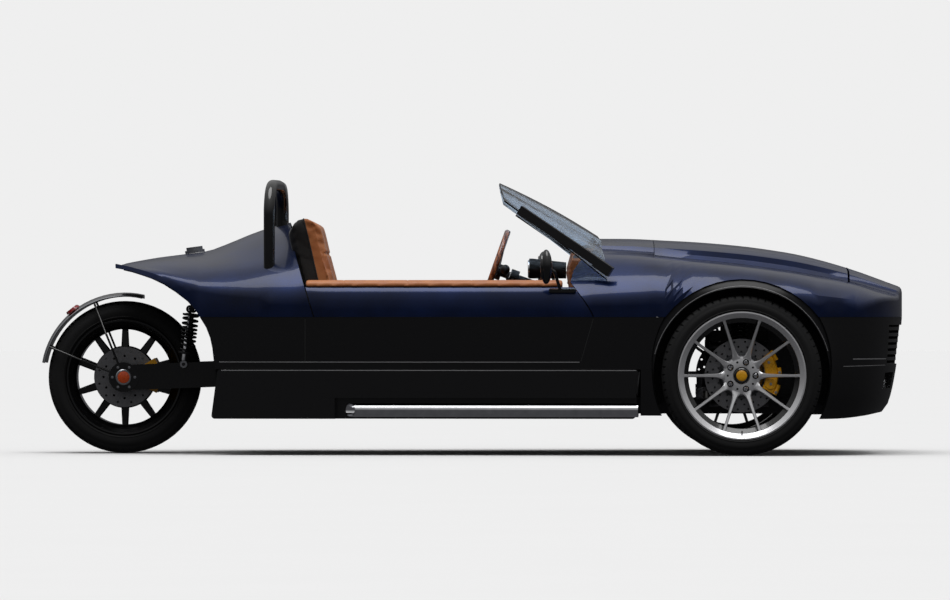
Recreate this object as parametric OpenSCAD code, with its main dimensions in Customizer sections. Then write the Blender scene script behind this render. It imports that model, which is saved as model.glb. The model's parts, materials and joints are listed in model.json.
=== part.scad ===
// Open three wheeled car: two driven and steered wheels in front, one trailing wheel behind.
// X points forward, Y to the left, Z up. The origin is on the ground below the middle of the car.
// The body is drawn at stations: a station is a place along the car on its standard wheelbase.

/* [Overall] */
// Distance from the front axle to the rear axle
wheelbase = 2550; // [2200:10:3000]
// Distance between the middle planes of the two front tyres
front_track = 1486; // [1400:2:1700]
// Thickness of the moulded body panels
panel_t = 5; // [3:0.5:8]
// Gap at every shut line and joint between panels
shut_gap = 5; // [3:0.5:8]

/* [Front wheels] */
// Outer radius of a front tyre
front_tyre_r = 328; // [310:1:345]
// Width of a front tyre
front_tyre_w = 225; // [195:5:245]
// Radius of a front rim at its lip
front_rim_r = 269; // [230:1:275]
// Radius of a front brake disc
front_disc_r = 152; // [130:1:165]
// Distance from the tyre's middle plane inboard to the steering pivot
kingpin_inset = 30; // [20:1:45]

/* [Rear wheel] */
// Outer radius of the rear tyre
rear_tyre_r = 317; // [300:1:325]
// Width of the rear tyre
rear_tyre_w = 275; // [205:5:295]
// Radius of the rear rim at its lip
rear_rim_r = 250; // [210:1:256]
// Outer radius of the fender over the rear wheel
rear_fender_r = 352; // [345:1:370]

/* [Wheel arches] */
// Radius of the opening in the painted body round a front wheel
arch_r = 395; // [385:1:405]
// Inner radius of the black flange inside the arch
flange_r = 362; // [356:1:372]

/* [Cockpit] */
// Distance of each seat's middle from the car's middle
seat_y = 300; // [270:5:330]
// Width of a seat
seat_w = 450; // [380:5:500]
// Diameter of the steering wheel
wheel_d = 360; // [320:5:380]
// Rake of the steering column from level
column_rake = 19.5; // [10:0.5:28]
// Tube diameter of the roll hoops
hoop_d = 46; // [38:1:56]

/* [Exhaust] */
// Outer diameter of the side exhaust pipes
pipe_d = 57; // [45:1:63]

/* [Hidden] */
$fn = 64;

// ---------- Scale of the stations ----------
base_wheelbase = 2550;
front_station = 1103;
nose_station = 1788;
base_half = 873;
kx = wheelbase / base_wheelbase;
arch_cover = 13;
half_body = front_track / 2 + front_tyre_w / 2 + arch_cover;
base_body = 868.5;
ky = half_body / base_body;
fender_from = 77;
fender_to = 170;
tail_reach = rear_fender_r * cos(180 - fender_to);
nose_reach = (nose_station - front_station) * kx;
front_x = (wheelbase + tail_reach - nose_reach) / 2;
rear_x = front_x - wheelbase;
function st(s) = front_x + (s - front_station) * kx;

// ---------- Curves ----------
function slope(p, i) = let (a = max(i - 1, 0), b = min(i + 1, len(p) - 1))
    (p[b][1] - p[a][1]) / (p[b][0] - p[a][0]);
function seek(p, x, i = 0) = i >= len(p) - 2 || x < p[i + 1][0] ? i : seek(p, x, i + 1);
function hermite(a, b, m, n, t) = let (s = t * t, c = s * t)
    a * (2 * c - 3 * s + 1) + m * (c - 2 * s + t) + b * (3 * s - 2 * c) + n * (c - s);
// Height of the smooth curve through points [x, y] with rising x
function curve(p, x) = let (i = seek(p, x), h = p[i + 1][0] - p[i][0],
        t = min(max((x - p[i][0]) / h, 0), 1))
    hermite(p[i][1], p[i + 1][1], slope(p, i) * h, slope(p, i + 1) * h, t);
function mix(a, b, t) = a + (b - a) * t;
function side(j) = j < 0 ? -1 : 1;

// ---------- Closed solids from grids of points ----------
function unit(v) = v / max(norm(v), 1e-9);
function normal(g, i, j) = let (n = len(g) - 1, m = len(g[0]) - 1)
    unit(cross(g[min(i + 1, n)][j] - g[max(i - 1, 0)][j], g[i][min(j + 1, m)] - g[i][max(j - 1, 0)]));
function inner(g, t) = [for (i = [0:len(g) - 1]) [for (j = [0:len(g[0]) - 1]) g[i][j] - normal(g, i, j) * t]];
function flat(l) = [for (a = l) for (b = a) b];
// A panel of thickness t below a grid, on the side away from its normals, without the cells in skip.
// A negative t puts the thickness on the side that the normals point to.
module panel(g, t, skip = function (i, j) false) {
    n = len(g) - 1;
    m = len(g[0]) - 1;
    at = function (i, j) i * (m + 1) + j;
    low = (n + 1) * (m + 1);
    has = function (i, j) i >= 0 && i < n && j >= 0 && j < m && !skip(i, j);
    tops = [for (i = [0:n - 1]) for (j = [0:m - 1]) if (has(i, j))
        [at(i, j), at(i, j + 1), at(i + 1, j + 1), at(i + 1, j)]];
    bottoms = [for (f = tops) [for (k = [3:-1:0]) f[k] + low]];
    edges = flat([for (i = [0:n - 1]) for (j = [0:m - 1]) if (has(i, j)) concat(
        has(i - 1, j) ? [] : [[at(i, j), at(i, j + 1)]],
        has(i, j + 1) ? [] : [[at(i, j + 1), at(i + 1, j + 1)]],
        has(i + 1, j) ? [] : [[at(i + 1, j + 1), at(i + 1, j)]],
        has(i, j - 1) ? [] : [[at(i + 1, j), at(i, j)]])]);
    rims = [for (e = edges) [e[1], e[0], e[0] + low, e[1] + low]];
    faces = concat(tops, bottoms, rims);
    polyhedron(flat(concat(g, inner(g, t))), t > 0 ? faces : [for (f = faces) [for (k = [len(f) - 1:-1:0]) f[k]]],
        convexity = 8);
}
// A closed solid through rings of points
module loft(rings) {
    n = len(rings) - 1;
    m = len(rings[0]);
    walls = [for (i = [0:n - 1]) for (j = [0:m - 1])
        [i * m + j, (i + 1) * m + j, (i + 1) * m + (j + 1) % m, i * m + (j + 1) % m]];
    caps = [[for (j = [0:m - 1]) j], [for (j = [m - 1:-1:0]) n * m + j]];
    polyhedron(flat(rings), concat(walls, caps), convexity = 4);
}
module both_sides() {
    children();
    mirror([0, 1, 0]) children();
}
// A round bar between two points
module bar(a, b, d) {
    v = b - a;
    translate(a) rotate([0, acos(v.z / norm(v)), atan2(v.y, v.x)]) cylinder(h = norm(v), d = d);
}

// ---------- Body outline ----------
split_z = 568;
split_gap = 0.8;
step_top = 353;
low_z = 150;
// Half widths along the side of the body, by station
side_w = [[-1480, 380], [-1300, 470], [-1100, 570], [-900, 642], [-650, 690], [-200, 722],
    [300, 757], [500, 774], [750, 815], [950, 855], [1103, 873], [1250, 873]];
tuck = [[low_z, 40], [step_top, 12], [split_z, 0]];
// Station of the nose at each height
nose_lean = [[low_z, 1698], [178, 1706], [211, 1730], [310, 1755], [478, 1779], [560, nose_station]];
function outline_x(y, half, length) = front_station + length * pow(1 - pow(min(y / half, 1), 3), 1 / 3);
function half_w(s) = s <= front_station ? curve(side_w, s)
    : base_half * pow(max(1 - pow((s - front_station) / (nose_station - front_station), 3), 0), 1 / 3);
function low_w(s, z) = s <= front_station ? curve(side_w, s) - curve(tuck, z)
    : (base_half - curve(tuck, z))
        * pow(max(1 - pow((s - front_station) / (curve(nose_lean, z) - front_station), 3), 0), 1 / 3);
function arch_z(s, r) = let (d = (s - front_station) * kx) abs(d) >= r ? 0 : front_tyre_r + sqrt(r * r - d * d);
function body_point(s, y, z) = [st(s), y * ky, z];

// ---------- Front body ----------
front_top = [[300, 893], [520, 893], [672, 892], [795, 886], [943, 878], [1115, 863], [1238, 847],
    [1361, 826], [1509, 788], [1656, 740], [nose_station, 686]];
ridge_y = [[300, 405], [1000, 395], [1600, 350]];
ridge_drop = [[300, 22], [1000, 20], [1600, 16]];
valley_out = 75;
valley_drop = [[300, 60], [520, 55], [935, 76], [1345, 78], [1560, 62]];
crown_share = [[300, 0.84], [520, 0.80], [1103, 0.86], [1400, 0.85], [1560, 0.84]];
crown_drop = [[300, 70], [520, 46], [800, 28], [1103, 20], [1560, 14]];
waist_z = [[300, 640], [1103, 660], [1400, 640], [1560, 625]];
function front_section(s) = let (t = curve(front_top, s), w = half_w(s), r = curve(ridge_y, s),
        v = t - curve(valley_drop, s))
    [[0, t], [r, t - curve(ridge_drop, s)], [r + valley_out, v],
        [w * curve(crown_share, s), v - curve(crown_drop, s)], [w, curve(waist_z, s)], [w, split_z]];
function tangents(c) = [[c[1].x, 0], for (i = [1:3]) (c[i + 1] - c[i - 1]) / 2,
    [0, (c[5].y - c[3].y) / 2], [0, c[5].y - c[4].y]];
// Point on a half section at v, which runs from 0 at the middle to 5 at the lowest point
function along(c, m, v) = let (i = min(floor(v), len(c) - 2)) hermite(c[i], c[i + 1], m[i], m[i + 1], v - i);
// The v at which a half section comes down to height z
function reach(c, m, z, a, b = 5, n = 22) = n == 0 ? (a + b) / 2 : let (h = (a + b) / 2)
    along(c, m, h).y > z ? reach(c, m, z, h, b, n - 1) : reach(c, m, z, a, h, n - 1);
ridge_cols = 6;
side_cols = 10;
cols = ridge_cols + side_cols;
// A point of the front body at station s and column j, with its lower edge at the arch or the split line
function front_point(s, j, r = arch_r) = let (k = abs(j), c = front_section(s), m = tangents(c),
        low = max(split_z, arch_z(s, r)), end = reach(c, m, low, 2.2),
        v = k <= ridge_cols ? 2 * k / ridge_cols : 2 + (end - 2) * (k - ridge_cols) / side_cols,
        p = along(c, m, v))
    [s, side(j) * p.x, p.y];
cowl_station = 750;
hood_end = 1560;
// Station of the rear edge by column: the cowl, the cockpit's front corner, then the joint down the side
rear_edge = [[0, 517], [3, 514], [6, 497], [8, 462], [10, 416], [11, 400]];
front_joint = [[split_z, 500], [600, 484], [640, 458], [667, 438], [690, 420], [725, 398]];
function edge_station(k) = k < 11 ? curve(rear_edge, k) : curve(front_joint, front_point(450, k).z);
arch_angle = asin((split_z - front_tyre_r) / arch_r);
arch_steps = 14;
cowl_rows = 5;
hood_stations = concat([cowl_station],
    [for (i = [0:arch_steps]) front_station + arch_r / kx * cos(180 - arch_angle - i * (180 - 2 * arch_angle) / arch_steps)],
    [1460, 1510, hood_end]);
hood_rows = len(hood_stations) - 1;
nose_half = 750;
nose_squash = 0.6;
edge_round = 18;
function nose_point(m, j) = let (a = front_point(hood_end, j), back = front_point(hood_end - 20, j),
        r = abs(a.y) / half_w(hood_end), ye = r * nose_half, yb = r * (nose_half - 14),
        full = nose_station - front_station,
        e = [outline_x(ye, base_half, full), side(j) * ye, split_z + (a.z - split_z) * nose_squash],
        b = [outline_x(yb, base_half, full), side(j) * yb, split_z],
        d = min(edge_round, 0.4 * norm(b - e)), e1 = e + unit(a - e) * d, e2 = e + unit(b - e) * d,
        run = (a - back) * norm(e1 - a) / 20)
    m <= 4 ? hermite(a, e1, run, e1 - a, m / 4)
    : m <= 7 ? let (t = (m - 4) / 3) e1 * (1 - t) * (1 - t) + e * 2 * t * (1 - t) + e2 * t * t
    : mix(e2, b, (m - 7) / 2);
nose_rows = 9;
function placed(p) = body_point(p.x, p.y, p.z);
front_grid = [
    for (i = [0:cowl_rows - 1]) [for (j = [-cols:cols])
        placed(front_point(mix(edge_station(abs(j)), cowl_station, i / cowl_rows), j))],
    for (s = hood_stations) [for (j = [-cols:cols]) placed(front_point(s, j))],
    for (m = [1:nose_rows]) [for (j = [-cols:cols]) placed(nose_point(m, j))]];
hinge_gap = 8;
hinge_r = 3.2;
hinge_pin_r = 1.6;
hinge_x = st(hood_end) - hinge_gap / 2 - 0.2;
hinge_z = curve(front_top, hood_end) - 3;
hinge_at = [-120, 100];
hinge_len = 40;
// Half of a hood hinge: a barrel and a strap that reaches the panel ahead of it or behind it
module hinge_leaf(length, way) {
    translate([hinge_x, 0, hinge_z]) difference() {
        union() {
            rotate([-90, 0, 0]) cylinder(h = length, r = hinge_r);
            translate([way > 0 ? 0 : -hinge_gap, 0, -2]) cube([hinge_gap, length, 4]);
        }
        if (way < 0) translate([0, -1, 0]) rotate([-90, 0, 0]) cylinder(h = length + 2, r = hinge_pin_r + 0.2);
    }
    if (way > 0) translate([hinge_x, -hinge_len - 0.5, hinge_z]) rotate([-90, 0, 0])
        cylinder(h = hinge_len + 1, r = hinge_pin_r);
}
module front_body() {
    first = cowl_rows;
    color("midnightblue") {
        for (y = hinge_at) translate([0, y + hinge_len / 2 + 0.5, 0]) hinge_leaf(hinge_len / 2, 1);
        panel(front_grid, panel_t, function (i, j)
            i >= first && i < first + hood_rows && j >= side_cols && j < side_cols + 2 * ridge_cols);
    }
}
module hood() {
    top = function (s, j) let (p = front_point(s, j * 0.988))
        body_point(p.x, p.y, p.z);
    span = [st(cowl_station) + shut_gap / 2, st(hood_end) - hinge_gap];
    stations = [for (s = hood_stations) front_station
        + (min(max(st(s), span[0]), span[1]) - front_x) / kx];
    color("midnightblue") {
        panel([for (s = stations) [for (j = [-ridge_cols:ridge_cols]) top(s, j)]], panel_t);
        for (y = hinge_at) translate([0, y - hinge_len / 2, 0]) hinge_leaf(hinge_len, -1);
    }
}

// ---------- Front fascia, grille and lamps ----------
fascia_top = split_z - split_gap;
fascia_cols = 22;
fascia_rows = 12;
// Height of the fascia's lower edge by station
fascia_low = [[1380, low_z], [1509, 152], [1607, 162], [1681, 174], [nose_station, 180]];
// Radius of the black flange's outer edge by angle above level
function flange_out(a) = mix(flange_r + 1, arch_r - 1, min(max(a / 37, 0), 1));
// Rear edge of the fascia at height z, as a share of the nose length
function fascia_edge(z) = let (a = asin(min(max((z - front_tyre_r) / arch_r, 0), 1)), r = flange_out(a) + 3,
        d = z - front_tyre_r)
    sqrt(max(r * r - d * d, 0)) / kx;
function fascia_point(i, j, inset = 0) = let (q = j / fascia_cols, t = i / fascia_rows, z0 = mix(fascia_top, low_z, t),
        len0 = curve(nose_lean, z0) - front_station, e = acos(min(pow(max(fascia_edge(z0), 1) / len0, 1.5), 1)),
        a = e * pow(abs(q), 1.5), s0 = front_station + len0 * pow(cos(a), 2 / 3),
        z = mix(fascia_top, curve(fascia_low, s0), t), half = base_half - curve(tuck, z),
        length = curve(nose_lean, z) - front_station)
    [front_station + (length - inset) * pow(cos(a), 2 / 3), side(j) * (half - inset) * pow(sin(a), 2 / 3), z];
grille_rows = [1, 6];
grille_col = 13;
lamp_rows = [7, 9];
lamp_cols = [9, 13];
fascia_skip = function (i, j) let (k = j < fascia_cols ? fascia_cols - 1 - j : j - fascia_cols)
    (i >= grille_rows[0] && i < grille_rows[1] && k < grille_col)
    || (i >= lamp_rows[0] && i < lamp_rows[1] && k >= lamp_cols[0] && k < lamp_cols[1]);
module front_fascia() {
    color("black") panel([for (i = [0:fascia_rows]) [for (j = [fascia_cols:-1:-fascia_cols])
        placed(fascia_point(i, j))]], -panel_t, fascia_skip);
}
slat_count = 7;
slat_h = 14;
slat_depth = 22;
slat_post = 16;
function slat_edge(z, inset) = [for (j = [-grille_col:grille_col]) let (q = j / fascia_cols,
        row = (fascia_top - z) / (fascia_top - low_z) * fascia_rows, p = placed(fascia_point(row, j, inset)))
    [p.x, p.y]];
module grille() {
    top = fascia_top - (fascia_top - low_z) * grille_rows[0] / fascia_rows;
    low = fascia_top - (fascia_top - low_z) * grille_rows[1] / fascia_rows;
    pitch = (top - low) / slat_count;
    back = panel_t + 2.2;
    color("black") {
        for (i = [0:slat_count - 1]) {
            z = low + pitch * (i + 0.5) - slat_h / 2;
            front = slat_edge(z, back);
            rear = slat_edge(z, back + slat_depth);
            translate([0, 0, z]) linear_extrude(slat_h)
                polygon(concat(front, [for (k = [len(rear) - 1:-1:0]) rear[k]]));
        }
        for (y = [-260, 0, 260] * ky) {
            face = function (z) st(outline_x(abs(y) / ky, base_half, curve(nose_lean, z) - front_station)) - panel_t - 1.9;
            translate([0, y + slat_post / 2, 0]) rotate([90, 0, 0]) linear_extrude(slat_post)
                polygon([[face(low) - 28, low - 14], [face(low - 14), low - 14], [face(top + 14), top + 14],
                    [face(top) - 28, top + 14]]);
        }
    }
}
lamp_r = 30;
module headlamps() {
    z = fascia_top - (fascia_top - low_z) * (lamp_rows[0] + lamp_rows[1]) / 2 / fascia_rows;
    p = placed(fascia_point((lamp_rows[0] + lamp_rows[1]) / 2, (lamp_cols[0] + lamp_cols[1]) / 2));
    color("lightgray") both_sides() translate([p.x - 26.25, p.y, z]) {
        rotate([0, -90, 0]) cylinder(h = 60, r = lamp_r - 3);
        translate([-1, 0, 0]) rotate([0, 90, 0]) cylinder(h = 10, r1 = lamp_r, r2 = lamp_r - 6);
        translate([-68, -50, -24]) cube([20, 100, 48]);
    }
}
liner_r = 374;
liner_t = 4;
liner_in = 470;
liner_steps = 28;
liner_range = [-24, 206];
function side_y(s, z) = z >= split_z ? let (c = front_section(s), m = tangents(c)) along(c, m, reach(c, m, z, 2.2)).x
    : low_w(s, z);
function ring_point(a, r, depth) = let (s = front_station + r / kx * cos(a), z = max(front_tyre_r + r * sin(a), low_z + 12))
    placed([s, side_y(s, z) - depth, z]);
flange_depth = 9;
module arch_liners() {
    angles = [for (i = [0:liner_steps]) mix(liner_range[0], liner_range[1], i / liner_steps)];
    ring = [for (a = angles) let (b = min(a, 180 - a), out = flange_out(b))
        [for (t = [0:3]) ring_point(a, mix(flange_r, out, t / 3), flange_depth)]];
    shell = [for (a = angles) let (z = max(front_tyre_r + liner_r * sin(a), low_z + 12), x = front_x + liner_r * cos(a),
            y1 = ring_point(a, liner_r, flange_depth + 4.5).y)
        [for (t = [0:4]) [x, mix(liner_in * ky, y1, t / 4), z]]];
    color("black") both_sides() {
        panel(ring, liner_t);
        panel(shell, -liner_t);
    }
}

// ---------- Side panels ----------
// Station of the joint between the side panels and the rear deck by height, and of the deck's edge behind the seats
rear_joint = [[split_z, -652], [620, -668], [691, -689], [760, -709], [811, -724], [905, -745], [961, -757]];
sill_z = 690;
side_steps_x = 20;
sill_roll = 46;
function side_section(s) = let (w = half_w(s)) [[w, split_z], [w + 1, 600], [w - 1, 635], [w - 6, 664],
    [w - 14, 681], [w - 26, sill_z], [w - 26 - sill_roll, sill_z]];
module side_panels() {
    rows = len(side_section(0)) - 1;
    color("midnightblue") both_sides() panel([for (i = [0:side_steps_x]) [for (k = [0:rows]) let (
            z = side_section(0)[k][1], s = mix(curve(rear_joint, z) + shut_gap, curve(front_joint, z) - shut_gap,
                i / side_steps_x), p = side_section(s)[k])
        body_point(s, p[0], p[1])]], -panel_t);
}
low_rows = 5;
low_cols = 30;
low_bottom = step_top + 0.3;
module lower_panels() {
    back = [[low_bottom, -1058], [383, -1062], [469, -1074], [535, -1099], [split_z, -1121]];
    front = function (z) let (d = z - front_tyre_r, r = flange_out(asin(min(max(d / arch_r, 0), 1))) + 3)
        front_station - sqrt(r * r - d * d) / kx;
    color("black") both_sides() {
        panel([for (i = [0:low_cols]) [for (k = [0:low_rows]) let (z = mix(low_bottom, split_z - split_gap, k / low_rows),
                s = mix(curve(back, z), front(z), i / low_cols))
            body_point(s, low_w(s, z) - 1, z)]], -panel_t);
        panel([for (i = [0:3]) [for (k = [0:4]) let (z = mix(low_z + 14, low_bottom - 0.5, k / 4),
                s = mix(690, front(z), i / 3))
            body_point(s, low_w(s, z) - 1, z)]], -panel_t);
    }
}
// The side steps and the exhaust pipes lie along a line that follows the narrowing body
step_from = [-1072, 652];
step_to = [682, 796];
module along_step() {
    a = [st(step_from.x), step_from.y * ky];
    b = [st(step_to.x), step_to.y * ky];
    translate([a.x, a.y, 0]) rotate([0, 0, atan2(b.y - a.y, b.x - a.x)]) children();
}
step_len = norm([st(step_to.x) - st(step_from.x), (step_to.y - step_from.y) * ky]);
step_depth = 92;
notch_z = 236;
notch_depth = pipe_d + 8;
pipe_z = 186;
step_round = 14;
module side_steps() {
    slant = 27 * kx;
    hanger = notch_depth - pipe_d - 2 - seat_gap;
    color("black") both_sides() along_step() {
        for (x = [760, 1420] * kx) translate([x, -notch_depth - 1, pipe_z - 9]) cube([26, hanger + 1, 18]);
        difference() {
        rotate([90, 0, 0]) linear_extrude(step_depth) offset(r = step_round) offset(delta = -step_round)
            polygon([[0, low_z], [slant, step_top], [step_len, step_top], [step_len - 20, low_z]]);
        translate([510 * kx, -notch_depth, low_z - 1]) cube([step_len, notch_depth + 1, notch_z - low_z + 1]);
        }
    }
}
pipe_wall = 2;
module exhaust_pipes() {
    start = 528 * kx;
    length = st(684) - st(step_from.x) - start;
    color("silver") both_sides() along_step() translate([start, -pipe_d / 2 - 2, pipe_z]) difference() {
        rotate([0, 90, 0]) cylinder(h = length, d = pipe_d);
        translate([-1, 0, 0]) rotate([0, 90, 0]) cylinder(h = length - 60, d = pipe_d - 2 * pipe_wall);
        translate([-1, -pipe_d, 0]) rotate([0, 0, -38]) translate([-2 * pipe_d, 0, -pipe_d])
            cube([2 * pipe_d, 3 * pipe_d, 2 * pipe_d]);
    }
}

// ---------- Rear deck ----------
rear_top = [[-1472, 779], [-1443, 790], [-1320, 813], [-1222, 826], [-1099, 843], [-1000, 880], [-902, 920],
    [-804, 951], [-754, 961], [-640, 968]];
spine_y = [[-1472, 130], [-1100, 150], [-900, 190], [-754, 230], [-640, 250]];
spine_drop = [[-1472, 1], [-1300, 6], [-1100, 12], [-754, 24], [-640, 26]];
flank_share = [[-1472, 0.62], [-1100, 0.60], [-754, 0.66], [-640, 0.68]];
flank_z = [[-1472, 776.5], [-1400, 788], [-1300, 796], [-1100, 800], [-900, 826], [-754, 852], [-640, 856]];
shoulder_share = [[-1472, 0.86], [-1100, 0.86], [-754, 0.90], [-640, 0.91]];
shoulder_z = [[-1472, 775], [-1400, 772], [-1300, 768], [-1100, 748], [-754, 752], [-640, 752]];
rear_waist = [[-1472, 773], [-1400, 755], [-1300, 725], [-1100, 668], [-900, 645], [-640, 640]];
function rear_section(s) = let (t = curve(rear_top, s), w = half_w(s))
    [[0, t], [curve(spine_y, s), t - curve(spine_drop, s)], [w * curve(flank_share, s), curve(flank_z, s)],
        [w * curve(shoulder_share, s), curve(shoulder_z, s)], [w, curve(rear_waist, s)],
        [w, min(split_z, curve(rear_waist, s) - 20)]];
// Height of the tail's lower edge by station
tail_low = [[-1475, 770], [-1419, 760], [-1369, 744], [-1320, 728], [-1271, 705], [-1222, 674], [-1173, 637],
    [-1148, 611], [-1121, split_z]];
function tail_z(s) = s < -1121 ? curve(tail_low, s) : split_z;
deck_cols = 15;
function rear_point(s, j) = let (k = abs(j), c = rear_section(s), m = tangents(c),
        end = reach(c, m, tail_z(s), 1), p = along(c, m, end * k / deck_cols))
    [s, side(j) * p.x, p.y];
// Station of the deck's front edge by column
function deck_edge(j) = curve(rear_joint, rear_point(-720, j).z);
deck_stations = [-1474, -1462, -1440, -1410, -1375, -1340, -1305, -1270, -1235, -1200, -1170, -1145, -1121, -1080,
    -1030, -980, -930, -880, -830];
deck_rows = 4;
module rear_deck() {
    grid = [for (s = deck_stations) [for (j = [-deck_cols:deck_cols]) placed(rear_point(s, j))],
        for (i = [1:deck_rows]) [for (j = [-deck_cols:deck_cols])
            placed(rear_point(mix(-830, deck_edge(j), i / deck_rows), j))]];
    color("midnightblue") difference() {
        panel(grid, panel_t);
        both_sides() for (f = [hoop_outer, hoop_inner]) translate(placed(f) - [0, 0, 120])
            cylinder(h = 240, r = hoop_d / 2 + seat_gap);
    }
}
wheelhouse_t = 4;
wheelhouse_cols = 8;
module rear_wheelhouse() {
    path = [[-1440, 760], [-1405, 752], [-1360, 738], [-1320, 724], [-1271, 701], [-1222, 670], [-1173, 633], [-1142, 600],
        [-1114, 560], [-1090, 520], [-1068, 460], [-1056, 400], [-1056, 330], [-1056, 250], [-1062, 170]];
    edge = function (s, z) z > split_z + 2 ? let (c = rear_section(s + 8), m = tangents(c)) along(c, m, reach(c, m, z, 1)).x
        : low_w(s, max(z, step_top));
    color("black") panel([for (p = path) let (s = p[0] + 4, w = min(edge(s, p[1] + 9), z_cap(p[1])) * ky - panel_t - 6.5)
        [for (j = [-wheelhouse_cols:wheelhouse_cols]) [st(p[0]), w * j / wheelhouse_cols, p[1]]]], -wheelhouse_t);
}
// Below the lower panels the wheelhouse narrows to stand between the side steps
function z_cap(z) = z > low_bottom ? 2000 : (step_from.y - step_depth / ky - 1);
cap_station = -1156;
module fuel_cap() {
    z = curve(rear_top, cap_station);
    color("silver") translate([st(cap_station), 0, z + 1.1]) rotate([0, -7.5, 0]) {
        cylinder(h = 12, r = 41);
        translate([0, 0, 11]) cylinder(h = 14, r = 34);
    }
}

// ---------- Roll hoops ----------
hoop_top = 1134;
hoop_outer = [-835, 540, 744];
hoop_inner = [-790, 120, 945];
hoop_bend = 120;
hoop_foot = 40;
seat_gap = 0.3;
module hoop() {
    a = placed(hoop_outer);
    b = placed(hoop_inner);
    top = hoop_top - hoop_d / 2;
    inward = atan2(b.x - a.x, a.y - b.y);
    span = norm([b.x - a.x, b.y - a.y]);
    translate([a.x, a.y, 0]) rotate([0, 0, -90 + inward]) {
        translate([0, 0, a.z - hoop_foot]) cylinder(h = top - hoop_bend - a.z + hoop_foot, d = hoop_d);
        translate([span, 0, b.z - hoop_foot / 2]) cylinder(h = top - hoop_bend - b.z + hoop_foot / 2, d = hoop_d);
        translate([hoop_bend, 0, top]) rotate([0, 90, 0]) cylinder(h = span - 2 * hoop_bend, d = hoop_d);
        for (k = [0, 1]) translate([k ? span - hoop_bend : hoop_bend, 0, top - hoop_bend]) rotate([90, 0, 0])
            rotate_extrude(angle = 90, start = k ? 0 : 90) translate([hoop_bend, 0]) circle(d = hoop_d);
    }
}
module roll_hoops() {
    color("black") both_sides() hoop();
}

// ---------- Windscreen ----------
glass_t = 6;
screen_cols = 12;
screen_rows = 8;
// Height of the front body's surface at station s, y from the middle
function top_at(s, y, a = 0, b = 4, n = 20) = let (h = (a + b) / 2, c = front_section(s), m = tangents(c))
    n == 0 ? along(c, m, h).y : along(c, m, h).x < y ? top_at(s, y, h, b, n - 1) : top_at(s, y, a, h, n - 1);
screen_half = [734, 604];
function screen_low(q) = let (s = mix(523, 552, q * q), y = screen_half[0] * q) [s, y, top_at(s, y) + 11];
function screen_high(q) = [mix(115, 135, q * q * q), screen_half[1] * q, mix(1125, 1046, pow(q, 2.6))];
module windscreen_glass() {
    color("lightblue", 0.4) panel([for (i = [0:screen_rows]) [for (j = [-screen_cols:screen_cols])
        let (q = abs(j) / screen_cols, t = i / screen_rows, p = mix(screen_low(q), screen_high(q), t))
        placed([p.x + 26 * t * (1 - t), side(j) * p.y, p.z + 30 * t * (1 - t) * (1 - q)])]], -glass_t);
}
frame_t = 36;
frame_w = 24;
frame_low = [566, 746.6, 757];
frame_high = [196, 635.6, 1009];
module windscreen_frame() {
    low = placed(frame_low);
    high = placed(frame_high);
    flat_run = norm([low.x - high.x, low.y - high.y]);
    slant = atan2(high.z - low.z, flat_run);
    yaw = atan2(high.y - low.y, high.x - low.x);
    color("black") both_sides() translate(low) rotate([0, 0, yaw]) rotate([0, -slant, 0]) {
        translate([0, -frame_w / 2, -frame_t / 2]) cube([norm(high - low), frame_w, frame_t]);
        translate([-6, -frame_w / 2 - 4, -frame_t / 2 - 6]) cube([80, frame_w + 4, frame_t + 6]);
    }
}
mirror_station = 303;
module mirrors() {
    base = placed([370, half_w(370) - 5.2, 675]);
    head = [st(mirror_station), base.y + 74, 773];
    knee = [st(338), base.y + 52, 752];
    foot = [st(360), base.y + 8, 682];
    color("black") both_sides() {
        translate(head) rotate([0, 0, -8]) scale([0.34, 0.62, 1]) sphere(r = 71);
        bar(foot, knee, 13);
        translate(knee) sphere(d = 14);
        bar(knee, head, 13);
        translate(base) rotate([0, 0, 4.9]) hull() for (dx = [-46, 46]) translate([dx, 0, 0]) rotate([-90, 0, 0])
            cylinder(h = 12, r1 = 11, r2 = 7);
    }
}

// ---------- Cockpit ----------
tub_t = 6;
tub_back = -793.7;
tub_front = 565.7;
tub_floor = 162;
tub_half = 566;
wall_top = 672;
module cockpit_tub() {
    length = st(tub_front) - st(tub_back);
    half = tub_half * ky;
    color("dimgray") difference() {
        union() {
            translate([st(tub_back), -half, tub_floor]) cube([length, 2 * half, tub_t]);
            both_sides() translate([st(tub_back), half - tub_t, tub_floor])
                cube([length, tub_t, wall_top - tub_floor]);
            translate([st(tub_back), -60, tub_floor]) difference() {
                cube([length, 120, 170]);
                translate([-1, tub_t, -1]) cube([length + 2, 120 - 2 * tub_t, 171 - tub_t]);
            }
        }
        for (x = [-500, 300], y = [-480, -120, 120, 480])
            translate([st(x), y * ky, tub_floor - 1]) cylinder(h = tub_t + 2, r = 6);
    }
}
module slice(s, section, drop, low) {
    half = [for (v = [0:0.25:5]) let (c = section(s), p = along(c, tangents(c), v)) if (p.y - drop > low)
        [max(p.x - drop, 0) * ky, p.y - drop]];
    w = (section(s)[5].x - drop) * ky;
    bottom = concat([[-w, low], [w, low]]);
    polygon(concat(bottom, [for (k = [len(half) - 1:-1:0]) half[k]], [for (p = half) if (p[0] > 0) [-p[0], p[1]]]));
}
bulkhead_t = 6;
module seat_bulkhead() {
    s = -800;
    color("dimgray") translate([st(s), 0, 0]) rotate([90, 0, 90]) linear_extrude(bulkhead_t)
        intersection() {
            slice(s, function (x) rear_section(x), panel_t + 0.6, tub_floor);
            translate([-630 * ky, step_top + 2]) square([1260 * ky, 905 - step_top]);
        }
    color("dimgray") translate([st(s), -tub_half * ky, tub_floor]) cube([bulkhead_t, 2 * tub_half * ky, step_top + 4 - tub_floor]);
}
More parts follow.
